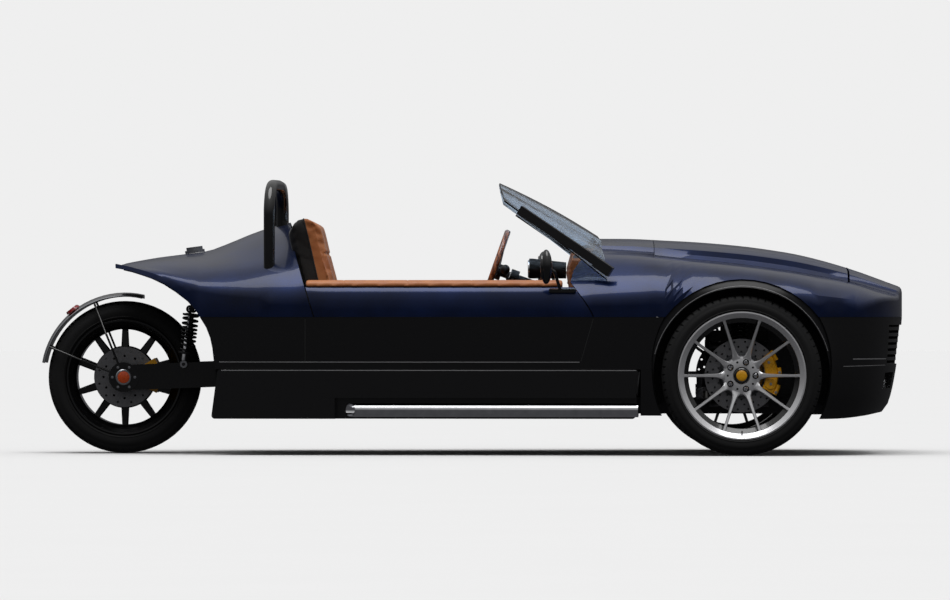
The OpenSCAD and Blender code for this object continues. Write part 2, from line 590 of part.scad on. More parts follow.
module firewall() {
    s = 566;
    color("dimgray") difference() {
        translate([st(s), 0, 0]) rotate([90, 0, 90]) linear_extrude(bulkhead_t)
            intersection() {
                slice(s, function (x) front_section(x), panel_t + 0.6, tub_floor);
                translate([-650 * ky, tub_floor]) square([1300 * ky, 800]);
            }
        translate(column_at) rotate([0, 90 + column_rake, 0]) cylinder(h = 1200, d = column_d + 2 * seat_gap);
    }
}
dash_station = [396, 506];
dash_half = 540;
module dashboard() {
    color("peru") difference() {
        intersection() {
            translate([0, dash_half * ky, 0]) rotate([90, 0, 0]) linear_extrude(2 * dash_half * ky) offset(r = 18) offset(delta = -18)
                polygon([[st(dash_station[0]) + 20, 640], [st(dash_station[0]), 760], [st(dash_station[0]) + 22, 846],
                    [st(dash_station[1]), 882], [st(dash_station[1]) + 30, 880], [st(dash_station[1]) + 30, 640]]);
            translate([st(300), 0, 0]) rotate([90, 0, 90]) linear_extrude(400 * kx)
                slice(500, function (x) front_section(x), panel_t + 8, 600);
        }
        translate(column_at) rotate([0, 90 + column_rake, 0]) cylinder(h = 1200, d = column_d + 1.6);
    }
    back = st(dash_station[1]) + 20;
    color("peru") for (y = [-460, 60, 420]) translate([back, y, 700]) cube([st(566) - seat_gap - back, 40, 60]);
}
module instrument_pod() {
    color("black") translate([st(240), seat_y * ky, 0]) difference() {
        hull() {
            translate([0, 0, 768]) rotate([0, 90, 0]) cylinder(h = 14, r = 44, $fn = 32);
            translate([st(dash_station[0]) - st(240) - 10.3, 0, 760]) rotate([0, 90, 0]) cylinder(h = 10, r = 36, $fn = 32);
        }
        translate([-60, -100, 600]) cube([400, 200, 128]);
    }
}
console_x = [-380, 380];
tunnel_top = tub_floor + 170 + seat_gap;
module console() {
    color("black") {
        translate([st(console_x[0]), -54, tunnel_top]) cube([st(console_x[1]) - st(console_x[0]), 108, 90]);
        translate([st(150), -54, tunnel_top]) cube([st(380) - st(150), 108, 230]);
        translate([st(190), 0, tunnel_top + 225]) rotate([0, -14, 0]) cylinder(h = 210, d = 14);
        translate([st(190) - 52, 0, tunnel_top + 433]) sphere(d = 40);
    }
}
module sill_pads() {
    color("peru") both_sides() {
        loft([for (s = [for (i = [0:16]) mix(-683, 372, i / 16)]) let (y0 = half_w(s) - 20, h = sill_z + 0.3)
            [body_point(s, y0, h), body_point(s, y0 - 5, h + 18), body_point(s, y0 - 18, h + 28), body_point(s, y0 - 56, h + 30),
                body_point(s, y0 - 78, h + 20), body_point(s, y0 - 84, h), body_point(s, y0 - 84, h - 12),
                body_point(s, y0 - 60, h - 12), body_point(s, y0 - 60, h)]]);
    }
}
module cushion(size, r) {
    hull() for (x = [r, size.x - r], z = [r, size.z - r])
        translate([x, -size.y / 2, z]) rotate([-90, 0, 0]) cylinder(h = size.y, r = r, $fn = 32);
}
cushion_z = tub_floor + tub_t - 3.6;
module seat_cushions() {
    color("peru") both_sides() translate([st(-450), seat_y * ky, cushion_z]) rotate([0, -6, 0])
        cushion([470, seat_w, 150], 40);
}
module seat_backs() {
    color("peru") both_sides() translate([st(-473), seat_y * ky, tub_floor + tub_t + 14]) rotate([0, -13, 0])
        translate([-100, 0, 0]) cushion([110, seat_w, 848], 45);
}

// ---------- Steering ----------
column_d = 32;
wheel_centre = [92, 300, 763];
column_at = [st(wheel_centre.x), seat_y * ky, wheel_centre.z];
rim_d = 24;
module on_column(d) {
    translate(column_at) rotate([0, 90 + column_rake, 0]) translate([0, 0, d]) children();
}
module steering_wheel() {
    color("peru") on_column(0) {
        rotate_extrude() translate([wheel_d / 2 - rim_d / 2, 0]) circle(d = rim_d);
        for (a = [90, 180, 270]) rotate([0, 0, a]) translate([20, -13, 14]) rotate([0, 7, 0])
            cube([wheel_d / 2 - 36, 26, 5]);
        translate([0, 0, 8]) cylinder(h = 26, r = 34);
        translate([0, 0, 30]) cylinder(h = 40, r = 16);
    }
}
module steering_column() {
    color("black") {
        on_column(70.3) cylinder(h = 445, d = column_d);
        on_column(70.3) cylinder(h = 36, d = 62);
        on_column(90) rotate([96, 0, 20]) cylinder(h = 130, d = 12);
    }
}

// ---------- Front running gear ----------
kingpin_y = front_track / 2 - kingpin_inset;
rail_y = 318;
rail_w = 41;
eye_d = 34;
pivot_y = rail_y + rail_w + eye_d / 2 + seat_gap;
lower_z = 212;
upper_z = 452;
rack_x = front_x - 140;
rack_z = 250;
arm_end = [rack_x, kingpin_y - 17];
engine_half = 295;
module engine_block() {
    color("gray") translate([front_x - 60, -engine_half, 200]) cube([400, 2 * engine_half, 410]);
}
cross_top = 199.7;
tow_reach = 64;
tow_t = 12;
tow_r = 11;
tow_z = 192;
module front_subframe() {
    back = st(566) + bulkhead_t + seat_gap;
    color("dimgray") {
        both_sides() {
            translate([back, rail_y, 168]) cube([front_x + 460 - back, rail_w, 60]);
            translate([front_x + 450, rail_y + rail_w / 2 - 22, tow_z]) difference() {
                cube([tow_reach, 44, tow_t]);
                translate([tow_reach - 22, 22, -1]) cylinder(h = tow_t + 2, r = tow_r);
            }
            for (dx = [-122, 82]) translate([front_x + dx, rail_y + 5, 200]) cube([40, rail_w - 5, 290]);
            translate([front_x - 122, rail_y + 5, 470]) cube([244, rail_w - 5, 40]);
            translate([front_x - 25, rail_y + 5, 500]) cube([50, rail_w - 5, 130]);
            translate([front_x - 25, rail_y + 5, 592]) cube([50, tower_y - 14 - seat_gap - rail_y - 5, 38]);
        }
        for (dx = [-500, -160, 120, 420]) translate([front_x + dx, -rail_y - 1, 172])
            cube([40, 2 * rail_y + 2, cross_top - 172]);
    }
}
ball_h = 26;
module wishbone(z) {
    outer = [front_x, kingpin_y, z];
    difference() {
        union() {
            for (dx = [-105, 105]) {
                bar([front_x + dx, pivot_y, z], outer, 24);
                translate([front_x + dx - 18, pivot_y, z]) rotate([0, 90, 0]) cylinder(h = 36, d = eye_d);
            }
            translate(outer - [0, 0, ball_h / 2]) cylinder(h = ball_h, d = 44);
        }
        for (dx = [-105, 105]) translate([front_x + dx - 20, pivot_y, z]) rotate([0, 90, 0]) cylinder(h = 40, d = 12);
    }
}
module wishbones() {
    color("dimgray") both_sides() {
        wishbone(lower_z);
        translate([front_x - 60, fork_y - 20, lower_z - 2]) cube([120, 40, 14]);
        wishbone(upper_z);
    }
}
module coilover(a, b, spring_d, rod) {
    v = b - a;
    translate(a) rotate([0, acos(v.z / norm(v)), atan2(v.y, v.x)]) {
        cylinder(h = norm(v) * 0.55, d = spring_d * 0.62);
        cylinder(h = norm(v), d = rod);
        translate([0, 0, norm(v) * 0.2]) cylinder(h = 8, d = spring_d);
        translate([0, 0, norm(v) - 24]) cylinder(h = 8, d = spring_d);
    }
    for (p = [a, b]) translate(p - [15, 0, 0]) rotate([0, 90, 0]) cylinder(h = 30, d = 28);
}
fork_y = 506;
tower_y = 412;
module front_coilovers() {
    color("black") both_sides() coilover([front_x, fork_y, 375], [front_x, tower_y, 600], 78, 16);
        for (s = [-1, 1]) translate([front_x + s * 20 - 5, fork_y - 15, lower_z + 12.3]) cube([10, 30, 375 - lower_z]);
}
module drive_shafts() {
    color("dimgray") both_sides() {
        bar([front_x, engine_half + seat_gap, front_tyre_r], [front_x, kingpin_y - 36, front_tyre_r], 26);
        bar([front_x, engine_half + seat_gap, front_tyre_r], [front_x, 372, front_tyre_r], 72);
        bar([front_x, kingpin_y - 92, front_tyre_r], [front_x, kingpin_y - 36, front_tyre_r], 72);
    }
}
module steering_rack() {
    color("silver") difference() {
        union() {
            translate([rack_x, -rail_y + 1, rack_z]) rotate([-90, 0, 0]) cylinder(h = 2 * rail_y - 2, d = 48);
            translate([rack_x, 200, rack_z + 10]) cylinder(h = 50, d = 44);
            for (y = [-250, 225]) translate([rack_x - 24, y, cross_top + seat_gap])
                cube([48, 24, rack_z - cross_top - seat_gap]);
        }
        translate([rack_x, -rail_y, rack_z]) rotate([-90, 0, 0]) cylinder(h = 2 * rail_y, d = 24.6);
    }
}
module tie_rods() {
    color("silver") {
        translate([rack_x, -430, rack_z]) rotate([-90, 0, 0]) cylinder(h = 860, d = 24);
        both_sides() {
            bar([rack_x, 425, rack_z], [rack_x, arm_end.y, rack_z], 16);
            translate([rack_x, arm_end.y, rack_z - 14]) cylinder(h = 28, d = 30);
        }
    }
}

// ---------- Wheels ----------
module tyre(r, w, rim) {
    rotate([90, 0, 0]) rotate_extrude($fn = 96) tyre_section(r, w, rim);
}
// Section of a tyre from bead to bead
module tyre_section(r, w, rim) {
    bead = rim - 17;
    half = w / 2;
    polygon([[bead, half - 13], [bead + 4, half - 24], [rim + 6, half - 20], [r - 30, half - 13], [r - 12, half - 30],
        [r - 11, 0], [r - 12, -half + 30], [r - 30, -half + 13], [rim + 6, -half + 20], [bead + 4, -half + 24],
        [bead, -half + 13], [rim - 10, -half + 12], [rim - 5, -half + 7.4], [rim + 2, -half + 5], [rim + (r - rim) * 0.45, -half], [r - 22, -half + 6],
        [r - 9, -half + 17], [r - 2, -half + 34], [r, -half * 0.5], [r, half * 0.5], [r - 2, half - 34], [r - 9, half - 17],
        [r - 22, half - 6], [rim + (r - rim) * 0.45, half], [rim + 2, half - 5], [rim - 5, half - 7.4],
        [rim - 10, half - 12]]);
}
spokes = 10;
// Barrel of a rim about the Z axis, with a flange at each end and a well between them
module barrel(r, w) {
    lip = w / 2 - 6;
    rotate_extrude($fn = 96) polygon([[r - 22, -lip], [r - 12, -lip - 4], [r - 6, -lip], [r - 10, -lip + 5],
        [r - 17.3, -lip + 5.5], [r - 22, -lip + 16], [r - 46, -lip + 60], [r - 46, lip - 60], [r - 22, lip - 16],
        [r - 17.3, lip - 5.5], [r - 10, lip - 5], [r - 6, lip], [r - 12, lip + 4], [r - 22, lip], [r - 30, lip - 22],
        [r - 51, lip - 62], [r - 51, -lip + 62], [r - 30, -lip + 22]]);
}
// A rim whose face is towards +Y
module rim(r, w, hub_r, hub_y, root, tip, bore) {
    face = w / 2 - 14;
    rotate([-90, 0, 0]) {
        barrel(r, w);
        difference() {
            union() {
                translate([0, 0, hub_y]) cylinder(h = face - 6 - hub_y, r = hub_r);
                for (i = [0:spokes - 1]) rotate([0, 0, 90 + i * 360 / spokes]) translate([0, 0, face - 30])
                    linear_extrude(26) polygon([[hub_r - 12, -root], [r - 22, -tip], [r - 22, tip], [hub_r - 12, root]]);
            }
            for (i = [0:4]) rotate([0, 0, 36 + i * 72]) translate([57, 0, hub_y - 1]) cylinder(h = 200, r = 8);
            translate([0, 0, hub_y - 1]) cylinder(h = 200, r = bore);
        }
    }
}
module disc(r, hat_r, y, t, hat) {
    rotate([-90, 0, 0]) difference() {
        union() {
            translate([0, 0, y]) cylinder(h = t, r = r);
            translate([0, 0, y + t - 1]) cylinder(h = hat, r = hat_r);
        }
        translate([0, 0, y - 1]) cylinder(h = t - 7, r = hat_r - 8);
        translate([0, 0, y - 2]) cylinder(h = 100, r = hub_bore);
        for (k = [0:17], q = [0, 1, 2]) rotate([0, 0, k * 20 + q * 7]) translate([hat_r + 18 + q * (r - hat_r - 32) / 2, 0, y - 1])
            cylinder(h = t + 2, r = 3.4);
    }
}
hub_face = 42;
hub_bore = 32;
module front_tyre() {
    color("black") tyre(front_tyre_r, front_tyre_w, front_rim_r);
}
module front_rim() {
    color("silver") rim(front_rim_r, front_tyre_w, 76, hub_face, 17, 8, hub_bore);
}
disc_y = 4;
module front_disc() {
    color("gray") disc(front_disc_r, 78, disc_y, 24, hub_face - disc_y - 24 + 0.7);
}
// Upright with its steering arm, hub and spindle, for a wheel whose outer side is +Y
module knuckle() {
    inset = -kingpin_inset;
    color("dimgray") difference() {
        union() {
            translate([-32, inset - 24, lower_z - front_tyre_r + 23]) cube([64, 34, upper_z - lower_z - 46]);
            translate([0, inset, lower_z - front_tyre_r + ball_h / 2 + seat_gap]) cylinder(h = 12, d = 34);
            translate([0, inset, upper_z - front_tyre_r - ball_h / 2 - seat_gap - 12]) cylinder(h = 12, d = 34);
            rotate([-90, 0, 0]) translate([0, 0, inset + 5]) cylinder(h = disc_y - 6 - inset - 5, r = 44);
            rotate([-90, 0, 0]) translate([0, 0, -10]) cylinder(h = hub_face + 14, r = hub_bore - seat_gap);
            translate([-155, inset - 33, rack_z - front_tyre_r + 15]) cube([135, 32, 16]);
            translate([0, inset - 10, -18]) cube([62, 20, 36]);
        }
        rotate([-90, 0, 0]) translate([0, 0, inset - 40]) cylinder(h = 60, r = 20);
    }
}
module caliper_front() {
    color("gold") rotate([-90, 0, 0]) difference() {
        rotate([0, 0, -38]) translate([0, 0, disc_y - 22]) rotate_extrude(angle = 68)
            translate([front_disc_r - 48, 0]) square([66, 72]);
        translate([0, 0, disc_y - 3]) cylinder(h = 30, r = front_disc_r + 5);
    }
    color("gold") rotate([-90, 0, 0]) difference() {
        translate([30, -16, -kingpin_inset + 10 + seat_gap]) cube([96, 32, 11]);
        translate([0, 0, -100]) cylinder(h = 200, r = 45);
    }
}
module left_front() {
    translate([front_x, front_track / 2, front_tyre_r]) children();
}
module right_front() {
    mirror([0, 1, 0]) left_front() children();
}
module left_knuckle() {
    left_front() knuckle();
}
module left_caliper() {
    left_front() caliper_front();
}
module left_disc() {
    left_front() front_disc();
}
module left_rim() {
    left_front() front_rim();
}
module left_tyre() {
    left_front() front_tyre();
}
module right_knuckle() {
    right_front() knuckle();
}
module right_caliper() {
    right_front() caliper_front();
}
module right_disc() {
    right_front() front_disc();
}
module right_rim() {
    right_front() front_rim();
}
module right_tyre() {
    right_front() front_tyre();
}

// ---------- Rear running gear ----------
arm_y = rear_tyre_w / 2 + 28;
arm_t = 30;
wheelhouse_x = st(-1056);
swing_x = wheelhouse_x - 40.3;
axle_d = 40;
module swingarm() {
    color("black") {
        both_sides() {
            translate([0, arm_y + arm_t, 0]) rotate([90, 0, 0]) linear_extrude(arm_t) offset(r = 14) offset(delta = -14)
                polygon([[rear_x - 48, rear_tyre_r - 46], [rear_x + 60, rear_tyre_r - 52], [swing_x + 40, 277],
                    [swing_x + 40, 383], [rear_x + 200, 376], [rear_x + 40, rear_tyre_r + 52], [rear_x - 48, rear_tyre_r + 46]]);
            translate([rear_x, arm_y + arm_t - 1, rear_tyre_r]) rotate([-90, 0, 0]) cylinder(h = 9, r = 62);
        }
        translate([swing_x - 8, -arm_y - 1, 290]) cube([44, 2 * arm_y + 2, 80]);
        translate([rear_x, -arm_y - 1, rear_tyre_r]) rotate([-90, 0, 0]) cylinder(h = 2 * arm_y + 2, d = axle_d);
    }
}
rear_disc_y = 96;
module rear_tyre() {
    color("black") translate([rear_x, 0, rear_tyre_r]) tyre(rear_tyre_r, rear_tyre_w, rear_rim_r);
}
module rear_rim() {
    r = rear_rim_r;
    color("black") translate([rear_x, 0, rear_tyre_r]) rotate([-90, 0, 0]) {
        barrel(r, rear_tyre_w);
        difference() {
            union() {
                translate([0, 0, -rear_disc_y + 13]) cylinder(h = 2 * rear_disc_y - 26, r = 60);
                translate([0, 0, -16]) cylinder(h = 32, r = 128);
                for (i = [0:spokes - 1]) rotate([0, 0, 90 + i * 360 / spokes]) translate([0, 0, -13])
                    linear_extrude(26) translate([100, -16]) square([r - 142, 32]);
            }
            translate([0, 0, -rear_disc_y]) cylinder(h = 2 * rear_disc_y, d = axle_d + 2 * seat_gap);
        }
    }
}
module rear_disc() {
    color("gray") translate([rear_x, 0, rear_tyre_r]) rotate([-90, 0, 0]) for (s = [-1, 1]) difference() {
        translate([0, 0, s * (rear_disc_y - 9) - 4]) cylinder(h = 8, r = 125);
        translate([0, 0, s * (rear_disc_y - 9) - 5]) cylinder(h = 10, d = axle_d + 2 * seat_gap);
        for (k = [0:11], q = [0, 1]) rotate([0, 0, k * 30 + q * 15]) translate([88 + q * 20, 0, s * (rear_disc_y - 9) - 5])
            cylinder(h = 10, r = 5);
    }
}
module rear_caliper() {
    color("gold") both_sides() translate([rear_x, rear_disc_y - 9, rear_tyre_r]) rotate([-90, 0, 0]) difference() {
        rotate([0, 0, -32]) translate([0, 0, -20]) rotate_extrude(angle = 58) translate([92, 0]) square([58, arm_y - rear_disc_y + 28.6]);
        translate([0, 0, -7]) cylinder(h = 14, r = 130);
    }
}
module rear_coilovers() {
    color("black") both_sides() {
        y = arm_y + arm_t + 26;
        coilover([st(-1197), y, 371], [st(-1170), y, 600], 58, 14);
        translate([st(-1197), arm_y + arm_t + 0.3, 371]) rotate([-90, 0, 0]) cylinder(h = 40, d = 16);
        translate([st(-1176), y - 12, 590]) cube([st(-1153.6) - st(-1176), 24, 20]);
    }
}
fender_t = 4;
fender_half = 148;
fender_steps = 20;
stay_d = 9;
module rear_fender() {
    crown = function (q) 14 * q * q;
    color("black") translate([rear_x, 0, rear_tyre_r]) {
        panel([for (i = [0:fender_steps]) let (a = mix(fender_from, fender_to, i / fender_steps))
            [for (j = [-6:6]) let (q = j / 6, r = rear_fender_r - crown(q)) [r * cos(a), fender_half * q, r * sin(a)]]], -fender_t);
    }
    color("black") both_sides() {
        y = arm_y + arm_t + stay_d / 2 + seat_gap;
        for (a = [112, 158]) {
            r = rear_fender_r - 14 - fender_t + 3;
            tip = [rear_x + r * cos(a), fender_half - 3, rear_tyre_r + r * sin(a)];
            knee = [rear_x + 190 * cos(a), y, rear_tyre_r + 190 * sin(a)];
            bar([rear_x + 62 * cos(a), y, rear_tyre_r + 62 * sin(a)], knee, stay_d);
            bar(knee, tip, stay_d);
            translate(knee) sphere(d = stay_d + 1.5);
        }
    }
}
module tail_lamps() {
    a = 128;
    color("red") both_sides() translate([rear_x, 0, rear_tyre_r]) rotate([0, -a, 0])
        translate([rear_fender_r - 0.2, 62, 0]) rotate([0, 90, 0]) cylinder(h = 10, r1 = 30, r2 = 27);
}

front_body();
hood();
front_fascia();
grille();
headlamps();
arch_liners();
side_panels();
lower_panels();
side_steps();
exhaust_pipes();
rear_deck();
rear_wheelhouse();
fuel_cap();
roll_hoops();
windscreen_glass();
windscreen_frame();
mirrors();
cockpit_tub();
seat_bulkhead();
firewall();
dashboard();
instrument_pod();
console();
sill_pads();
seat_cushions();
seat_backs();
engine_block();
front_subframe();
wishbones();
front_coilovers();
drive_shafts();
steering_rack();
tie_rods();
steering_column();
steering_wheel();
left_knuckle();
left_caliper();
left_disc();
left_rim();
left_tyre();
right_knuckle();
right_caliper();
right_disc();
right_rim();
right_tyre();
swingarm();
rear_coilovers();
rear_caliper();
rear_fender();
tail_lamps();
rear_disc();
rear_rim();
rear_tyre();
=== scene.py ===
"""Looks of an open three wheeled car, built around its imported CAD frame. Lengths are in metres."""

import json
import math
import random

import bmesh
import bpy
from mathutils import Matrix, Vector
from mathutils.bvhtree import BVHTree


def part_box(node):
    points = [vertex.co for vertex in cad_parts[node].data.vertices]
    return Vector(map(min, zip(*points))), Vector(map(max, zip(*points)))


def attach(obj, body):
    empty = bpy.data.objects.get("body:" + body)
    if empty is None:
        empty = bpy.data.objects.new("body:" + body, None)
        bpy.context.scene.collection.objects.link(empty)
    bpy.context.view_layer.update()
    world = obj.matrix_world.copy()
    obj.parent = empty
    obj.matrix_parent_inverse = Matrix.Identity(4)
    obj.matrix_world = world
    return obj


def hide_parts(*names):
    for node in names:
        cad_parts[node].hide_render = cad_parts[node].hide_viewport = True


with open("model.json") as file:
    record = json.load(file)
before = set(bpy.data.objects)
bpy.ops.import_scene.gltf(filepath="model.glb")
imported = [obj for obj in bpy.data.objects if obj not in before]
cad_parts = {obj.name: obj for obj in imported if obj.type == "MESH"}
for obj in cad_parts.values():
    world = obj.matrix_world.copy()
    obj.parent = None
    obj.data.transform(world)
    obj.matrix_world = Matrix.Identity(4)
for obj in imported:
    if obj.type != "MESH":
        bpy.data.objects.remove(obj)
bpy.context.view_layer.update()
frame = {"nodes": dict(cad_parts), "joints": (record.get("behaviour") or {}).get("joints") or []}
NODES = frame["nodes"]
JOINTS = {j["name"]: j for j in frame["joints"]}
MM = 0.001
TAU = 2 * math.pi
random.seed(7)


# ---------- Materials ----------
def linear(hex_colour):
    """sRGB hex to the linear RGBA that a node takes."""
    parts = [int(hex_colour[i:i + 2], 16) / 255 for i in (1, 3, 5)]
    return [*(c / 12.92 if c <= 0.04045 else ((c + 0.055) / 1.055) ** 2.4 for c in parts), 1.0]


def add(tree, kind, settings=None, links=None):
    """Adds a node. Settings are its attributes or its inputs by name, and links are inputs by name to output sockets."""
    node = tree.nodes.new(kind)
    for key, value in (settings or {}).items():
        if hasattr(node, key):
            setattr(node, key, value)
        else:
            node.inputs[key].default_value = value
    for key, socket in (links or {}).items():
        tree.links.new(socket, node.inputs[key])
    return node


def blank(name, **shader):
    """A new material with its surface shader, whose even values sit on its own sockets."""
    material = bpy.data.materials.new(name)
    material.use_nodes = True
    tree = material.node_tree
    tree.nodes.clear()
    surface = add(tree, "ShaderNodeBsdfPrincipled", {k.replace("_", " "): v for k, v in shader.items()})
    add(tree, "ShaderNodeOutputMaterial", links={"Surface": surface.outputs[0]})
    return material, tree, surface


def shade(tree, surface, factor, dark, light, rough, height, depth):
    """Lets one pattern drive the colour, the roughness and the relief of a surface."""
    ramp = add(tree, "ShaderNodeValToRGB", links={"Fac": factor})
    ramp.color_ramp.elements[0].color = linear(dark)
    ramp.color_ramp.elements[1].color = linear(light)
    ramp.color_ramp.elements[0].position = 0.25
    ramp.color_ramp.elements[1].position = 0.75
    tree.links.new(ramp.outputs[0], surface.inputs["Base Color"])
    spread = add(tree, "ShaderNodeMapRange", {"To Min": rough[0], "To Max": rough[1]}, {"Value": factor})
    tree.links.new(spread.outputs[0], surface.inputs["Roughness"])
    bump = add(tree, "ShaderNodeBump", {"Strength": 1.0, "Distance": depth}, {"Height": height})
    tree.links.new(bump.outputs[0], surface.inputs["Normal"])
    return bump


def mottled(name, dark, light, rough, size, depth, detail=3, **shader):
    """A finish whose grain has one real size, such as a moulding's grain, a casting's skin or orange peel."""
    material, tree, surface = blank(name, **shader)
    place = add(tree, "ShaderNodeTexCoord")
    grain = add(tree, "ShaderNodeTexNoise", {"Scale": 1 / size, "Detail": detail}, {"Vector": place.outputs["Object"]})
    shade(tree, surface, grain.outputs[0], dark, light, rough, grain.outputs[0], depth)
    return material


def metallic_paint():
    """Navy base coat with fine aluminium flake under clear lacquer: deep and dark, with a blue bloom where light falls."""
    material, tree, surface = blank("navy_flake_lacquer", Metallic=0.6, Coat_Weight=0.5, Coat_Roughness=0.06,
                                    Specular_IOR_Level=0.25)
    place = add(tree, "ShaderNodeTexCoord")
    # Real flakes are 0.05 mm, drawn at 2.5 mm so that they show
    flake = add(tree, "ShaderNodeTexVoronoi", {"Scale": 1 / (2.5 * MM)}, {"Vector": place.outputs["Object"]})
    cloud = add(tree, "ShaderNodeTexNoise", {"Scale": 1 / (180 * MM), "Detail": 2.0}, {"Vector": place.outputs["Object"]})
    both = add(tree, "ShaderNodeMix", {"data_type": "FLOAT", "Factor": 0.3},
               {"A": cloud.outputs[0], "B": flake.outputs["Distance"]})
    shade(tree, surface, both.outputs[0], "#071028", "#0f2452", (0.28, 0.36), flake.outputs["Distance"], 0.02 * MM)
    return material


def leather(name, dark, light, rough=(0.42, 0.56)):
    """Full grain hide: pebbled cells about 2 mm across, slow colour changes and a soft sheen."""
    material, tree, surface = blank(name, Sheen_Weight=0.12, Coat_Weight=0.12, Coat_Roughness=0.35)
    place = add(tree, "ShaderNodeTexCoord")
    cells = add(tree, "ShaderNodeTexVoronoi", {"Scale": 1 / (2.4 * MM), "feature": "DISTANCE_TO_EDGE"},
                {"Vector": place.outputs["Object"]})
    worn = add(tree, "ShaderNodeTexNoise", {"Scale": 1 / (70 * MM), "Detail": 4.0}, {"Vector": place.outputs["Object"]})
    shade(tree, surface, worn.outputs[0], dark, light, rough, cells.outputs["Distance"], 0.35 * MM)
    return material


def turned(name, dark, light, rough, pitch, axis, **shader):
    """Metal cut on a lathe: fine rings about the wheel's axle."""
    material, tree, surface = blank(name, Metallic=1.0, **shader)
    place = add(tree, "ShaderNodeTexCoord")
    rings = add(tree, "ShaderNodeTexWave", {"wave_type": "RINGS", "rings_direction": axis, "Scale": 1 / pitch / TAU,
                                            "Distortion": 0.6, "Detail": 2.0}, {"Vector": place.outputs["Object"]})
    shade(tree, surface, rings.outputs["Fac"], dark, light, rough, rings.outputs["Fac"], 0.05 * MM)
    return material


def laminated_glass():
    """Laminated screen glass: clear and faintly blue, with a soft haze of dust."""
    material, tree, surface = blank("laminated_screen_glass", Transmission_Weight=1.0, IOR=1.5)
    place = add(tree, "ShaderNodeTexCoord")
    dust = add(tree, "ShaderNodeTexNoise", {"Scale": 1 / (60 * MM), "Detail": 5.0}, {"Vector": place.outputs["Object"]})
    shade(tree, surface, dust.outputs[0], "#a9bdd2", "#bccbdc", (0.0, 0.02), dust.outputs[0], 0.002 * MM)
    return material


def walnut():
    """Varnished wood for the wheel's grip: long grain lines under a clear coat."""
    material, tree, surface = blank("varnished_walnut", Coat_Weight=0.8, Coat_Roughness=0.06)
    place = add(tree, "ShaderNodeTexCoord")
    lines = add(tree, "ShaderNodeTexWave", {"Scale": 1 / (9 * MM) / TAU, "Distortion": 5.0, "Detail": 3.0},
                {"Vector": place.outputs["Object"]})
    shade(tree, surface, lines.outputs["Fac"], "#6e3517", "#b4683a", (0.25, 0.38), lines.outputs["Fac"], 0.05 * MM)
    return material


PAINT = metallic_paint()
# Gel coated shell, sanded and polished: near black with a wet gloss and a trace of orange peel
GEL = mottled("black_gel_coat", "#050506", "#09090b", (0.2, 0.28), 6 * MM, 0.02 * MM, Coat_Weight=0.5, Coat_Roughness=0.06)
# Moulded ABS with a fine spark-eroded grain: satin and slightly grey
ABS = mottled("grained_black_abs", "#0c0c0d", "#151517", (0.4, 0.52), 1.6 * MM, 0.06 * MM, Specular_IOR_Level=0.35)
# Enamel baked on steel tube: black and glossy with slight waves
ENAMEL = mottled("black_stove_enamel", "#050506", "#0a0a0b", (0.16, 0.24), 14 * MM, 0.05 * MM, Coat_Weight=0.6,
                 Coat_Roughness=0.04)
# Powder coat on welded parts: charcoal with a fine orange peel
POWDER = mottled("charcoal_powder_coat", "#1a1a1c", "#29292c", (0.38, 0.5), 2.5 * MM, 0.08 * MM)
# Rubber: carbon black, dull, with dust in its grain
RUBBER = mottled("tyre_rubber", "#0b0b0c", "#161617", (0.62, 0.8), 2 * MM, 0.12 * MM, Specular_IOR_Level=0.3)
HOSE = mottled("hose_rubber", "#101011", "#19191a", (0.5, 0.62), 1.5 * MM, 0.05 * MM)
TAN = leather("tan_hide", "#a55c2c", "#c47c47")
COAL = leather("black_hide", "#0f0e0e", "#1d1b1a")
# Bright chrome plate on steel: mirror sharp, with the faintest haze
CHROME = mottled("chrome_plate", "#d9dadd", "#ececef", (0.05, 0.11), 30 * MM, 0.02 * MM, Metallic=1.0)
# Silver wheel paint: metallic grain under a satin lacquer
SILVER = mottled("silver_wheel_lacquer", "#cbcbcd", "#e6e6e8", (0.26, 0.36), 1.2 * MM, 0.02 * MM, Metallic=0.6,
                 Coat_Weight=0.5, Coat_Roughness=0.1)
# Anodised aluminium: even, grey and softly bright
ANODISED = mottled("anodised_aluminium", "#8d8f93", "#b3b5b9", (0.28, 0.4), 1.5 * MM, 0.03 * MM, Metallic=1.0)
ZINC = mottled("zinc_plated_steel", "#9a9a98", "#c2c1bc", (0.25, 0.42), 4 * MM, 0.03 * MM, Metallic=1.0)
CASTING = mottled("sand_cast_alloy", "#4c4c4e", "#6a6a6c", (0.5, 0.65), 3 * MM, 0.25 * MM, Metallic=0.8)
DISC = turned("turned_disc_iron", "#6d6d6f", "#97979a", (0.3, 0.45), 2.2 * MM, "Y")
# Caliper enamel: warm yellow, glossy over a cast surface
YELLOW = mottled("yellow_caliper_enamel", "#dd9a06", "#f4b315", (0.22, 0.34), 5 * MM, 0.12 * MM, Coat_Weight=0.5)
AMBER = mottled("orange_cap_enamel", "#b5380c", "#e05a14", (0.2, 0.32), 4 * MM, 0.05 * MM, Coat_Weight=0.6)
GLASS = laminated_glass()
WOOD = walnut()
# Lens: clear moulded polycarbonate
LENS = mottled("clear_lamp_lens", "#d8dce0", "#eef0f2", (0.03, 0.08), 12 * MM, 0.03 * MM, Transmission_Weight=0.85, IOR=1.58)
# Red PMMA lens, fluted behind its face
RED = mottled("red_lamp_lens", "#7c0606", "#b40e0c", (0.08, 0.16), 3 * MM, 0.15 * MM, Transmission_Weight=0.3, IOR=1.49,
              Coat_Weight=0.5)
# Needle felt on the floor: matt, with loose fibres
FELT = mottled("needle_felt", "#1a1918", "#2c2a28", (0.85, 0.98), 1.4 * MM, 0.6 * MM, detail=6, Sheen_Weight=0.4)
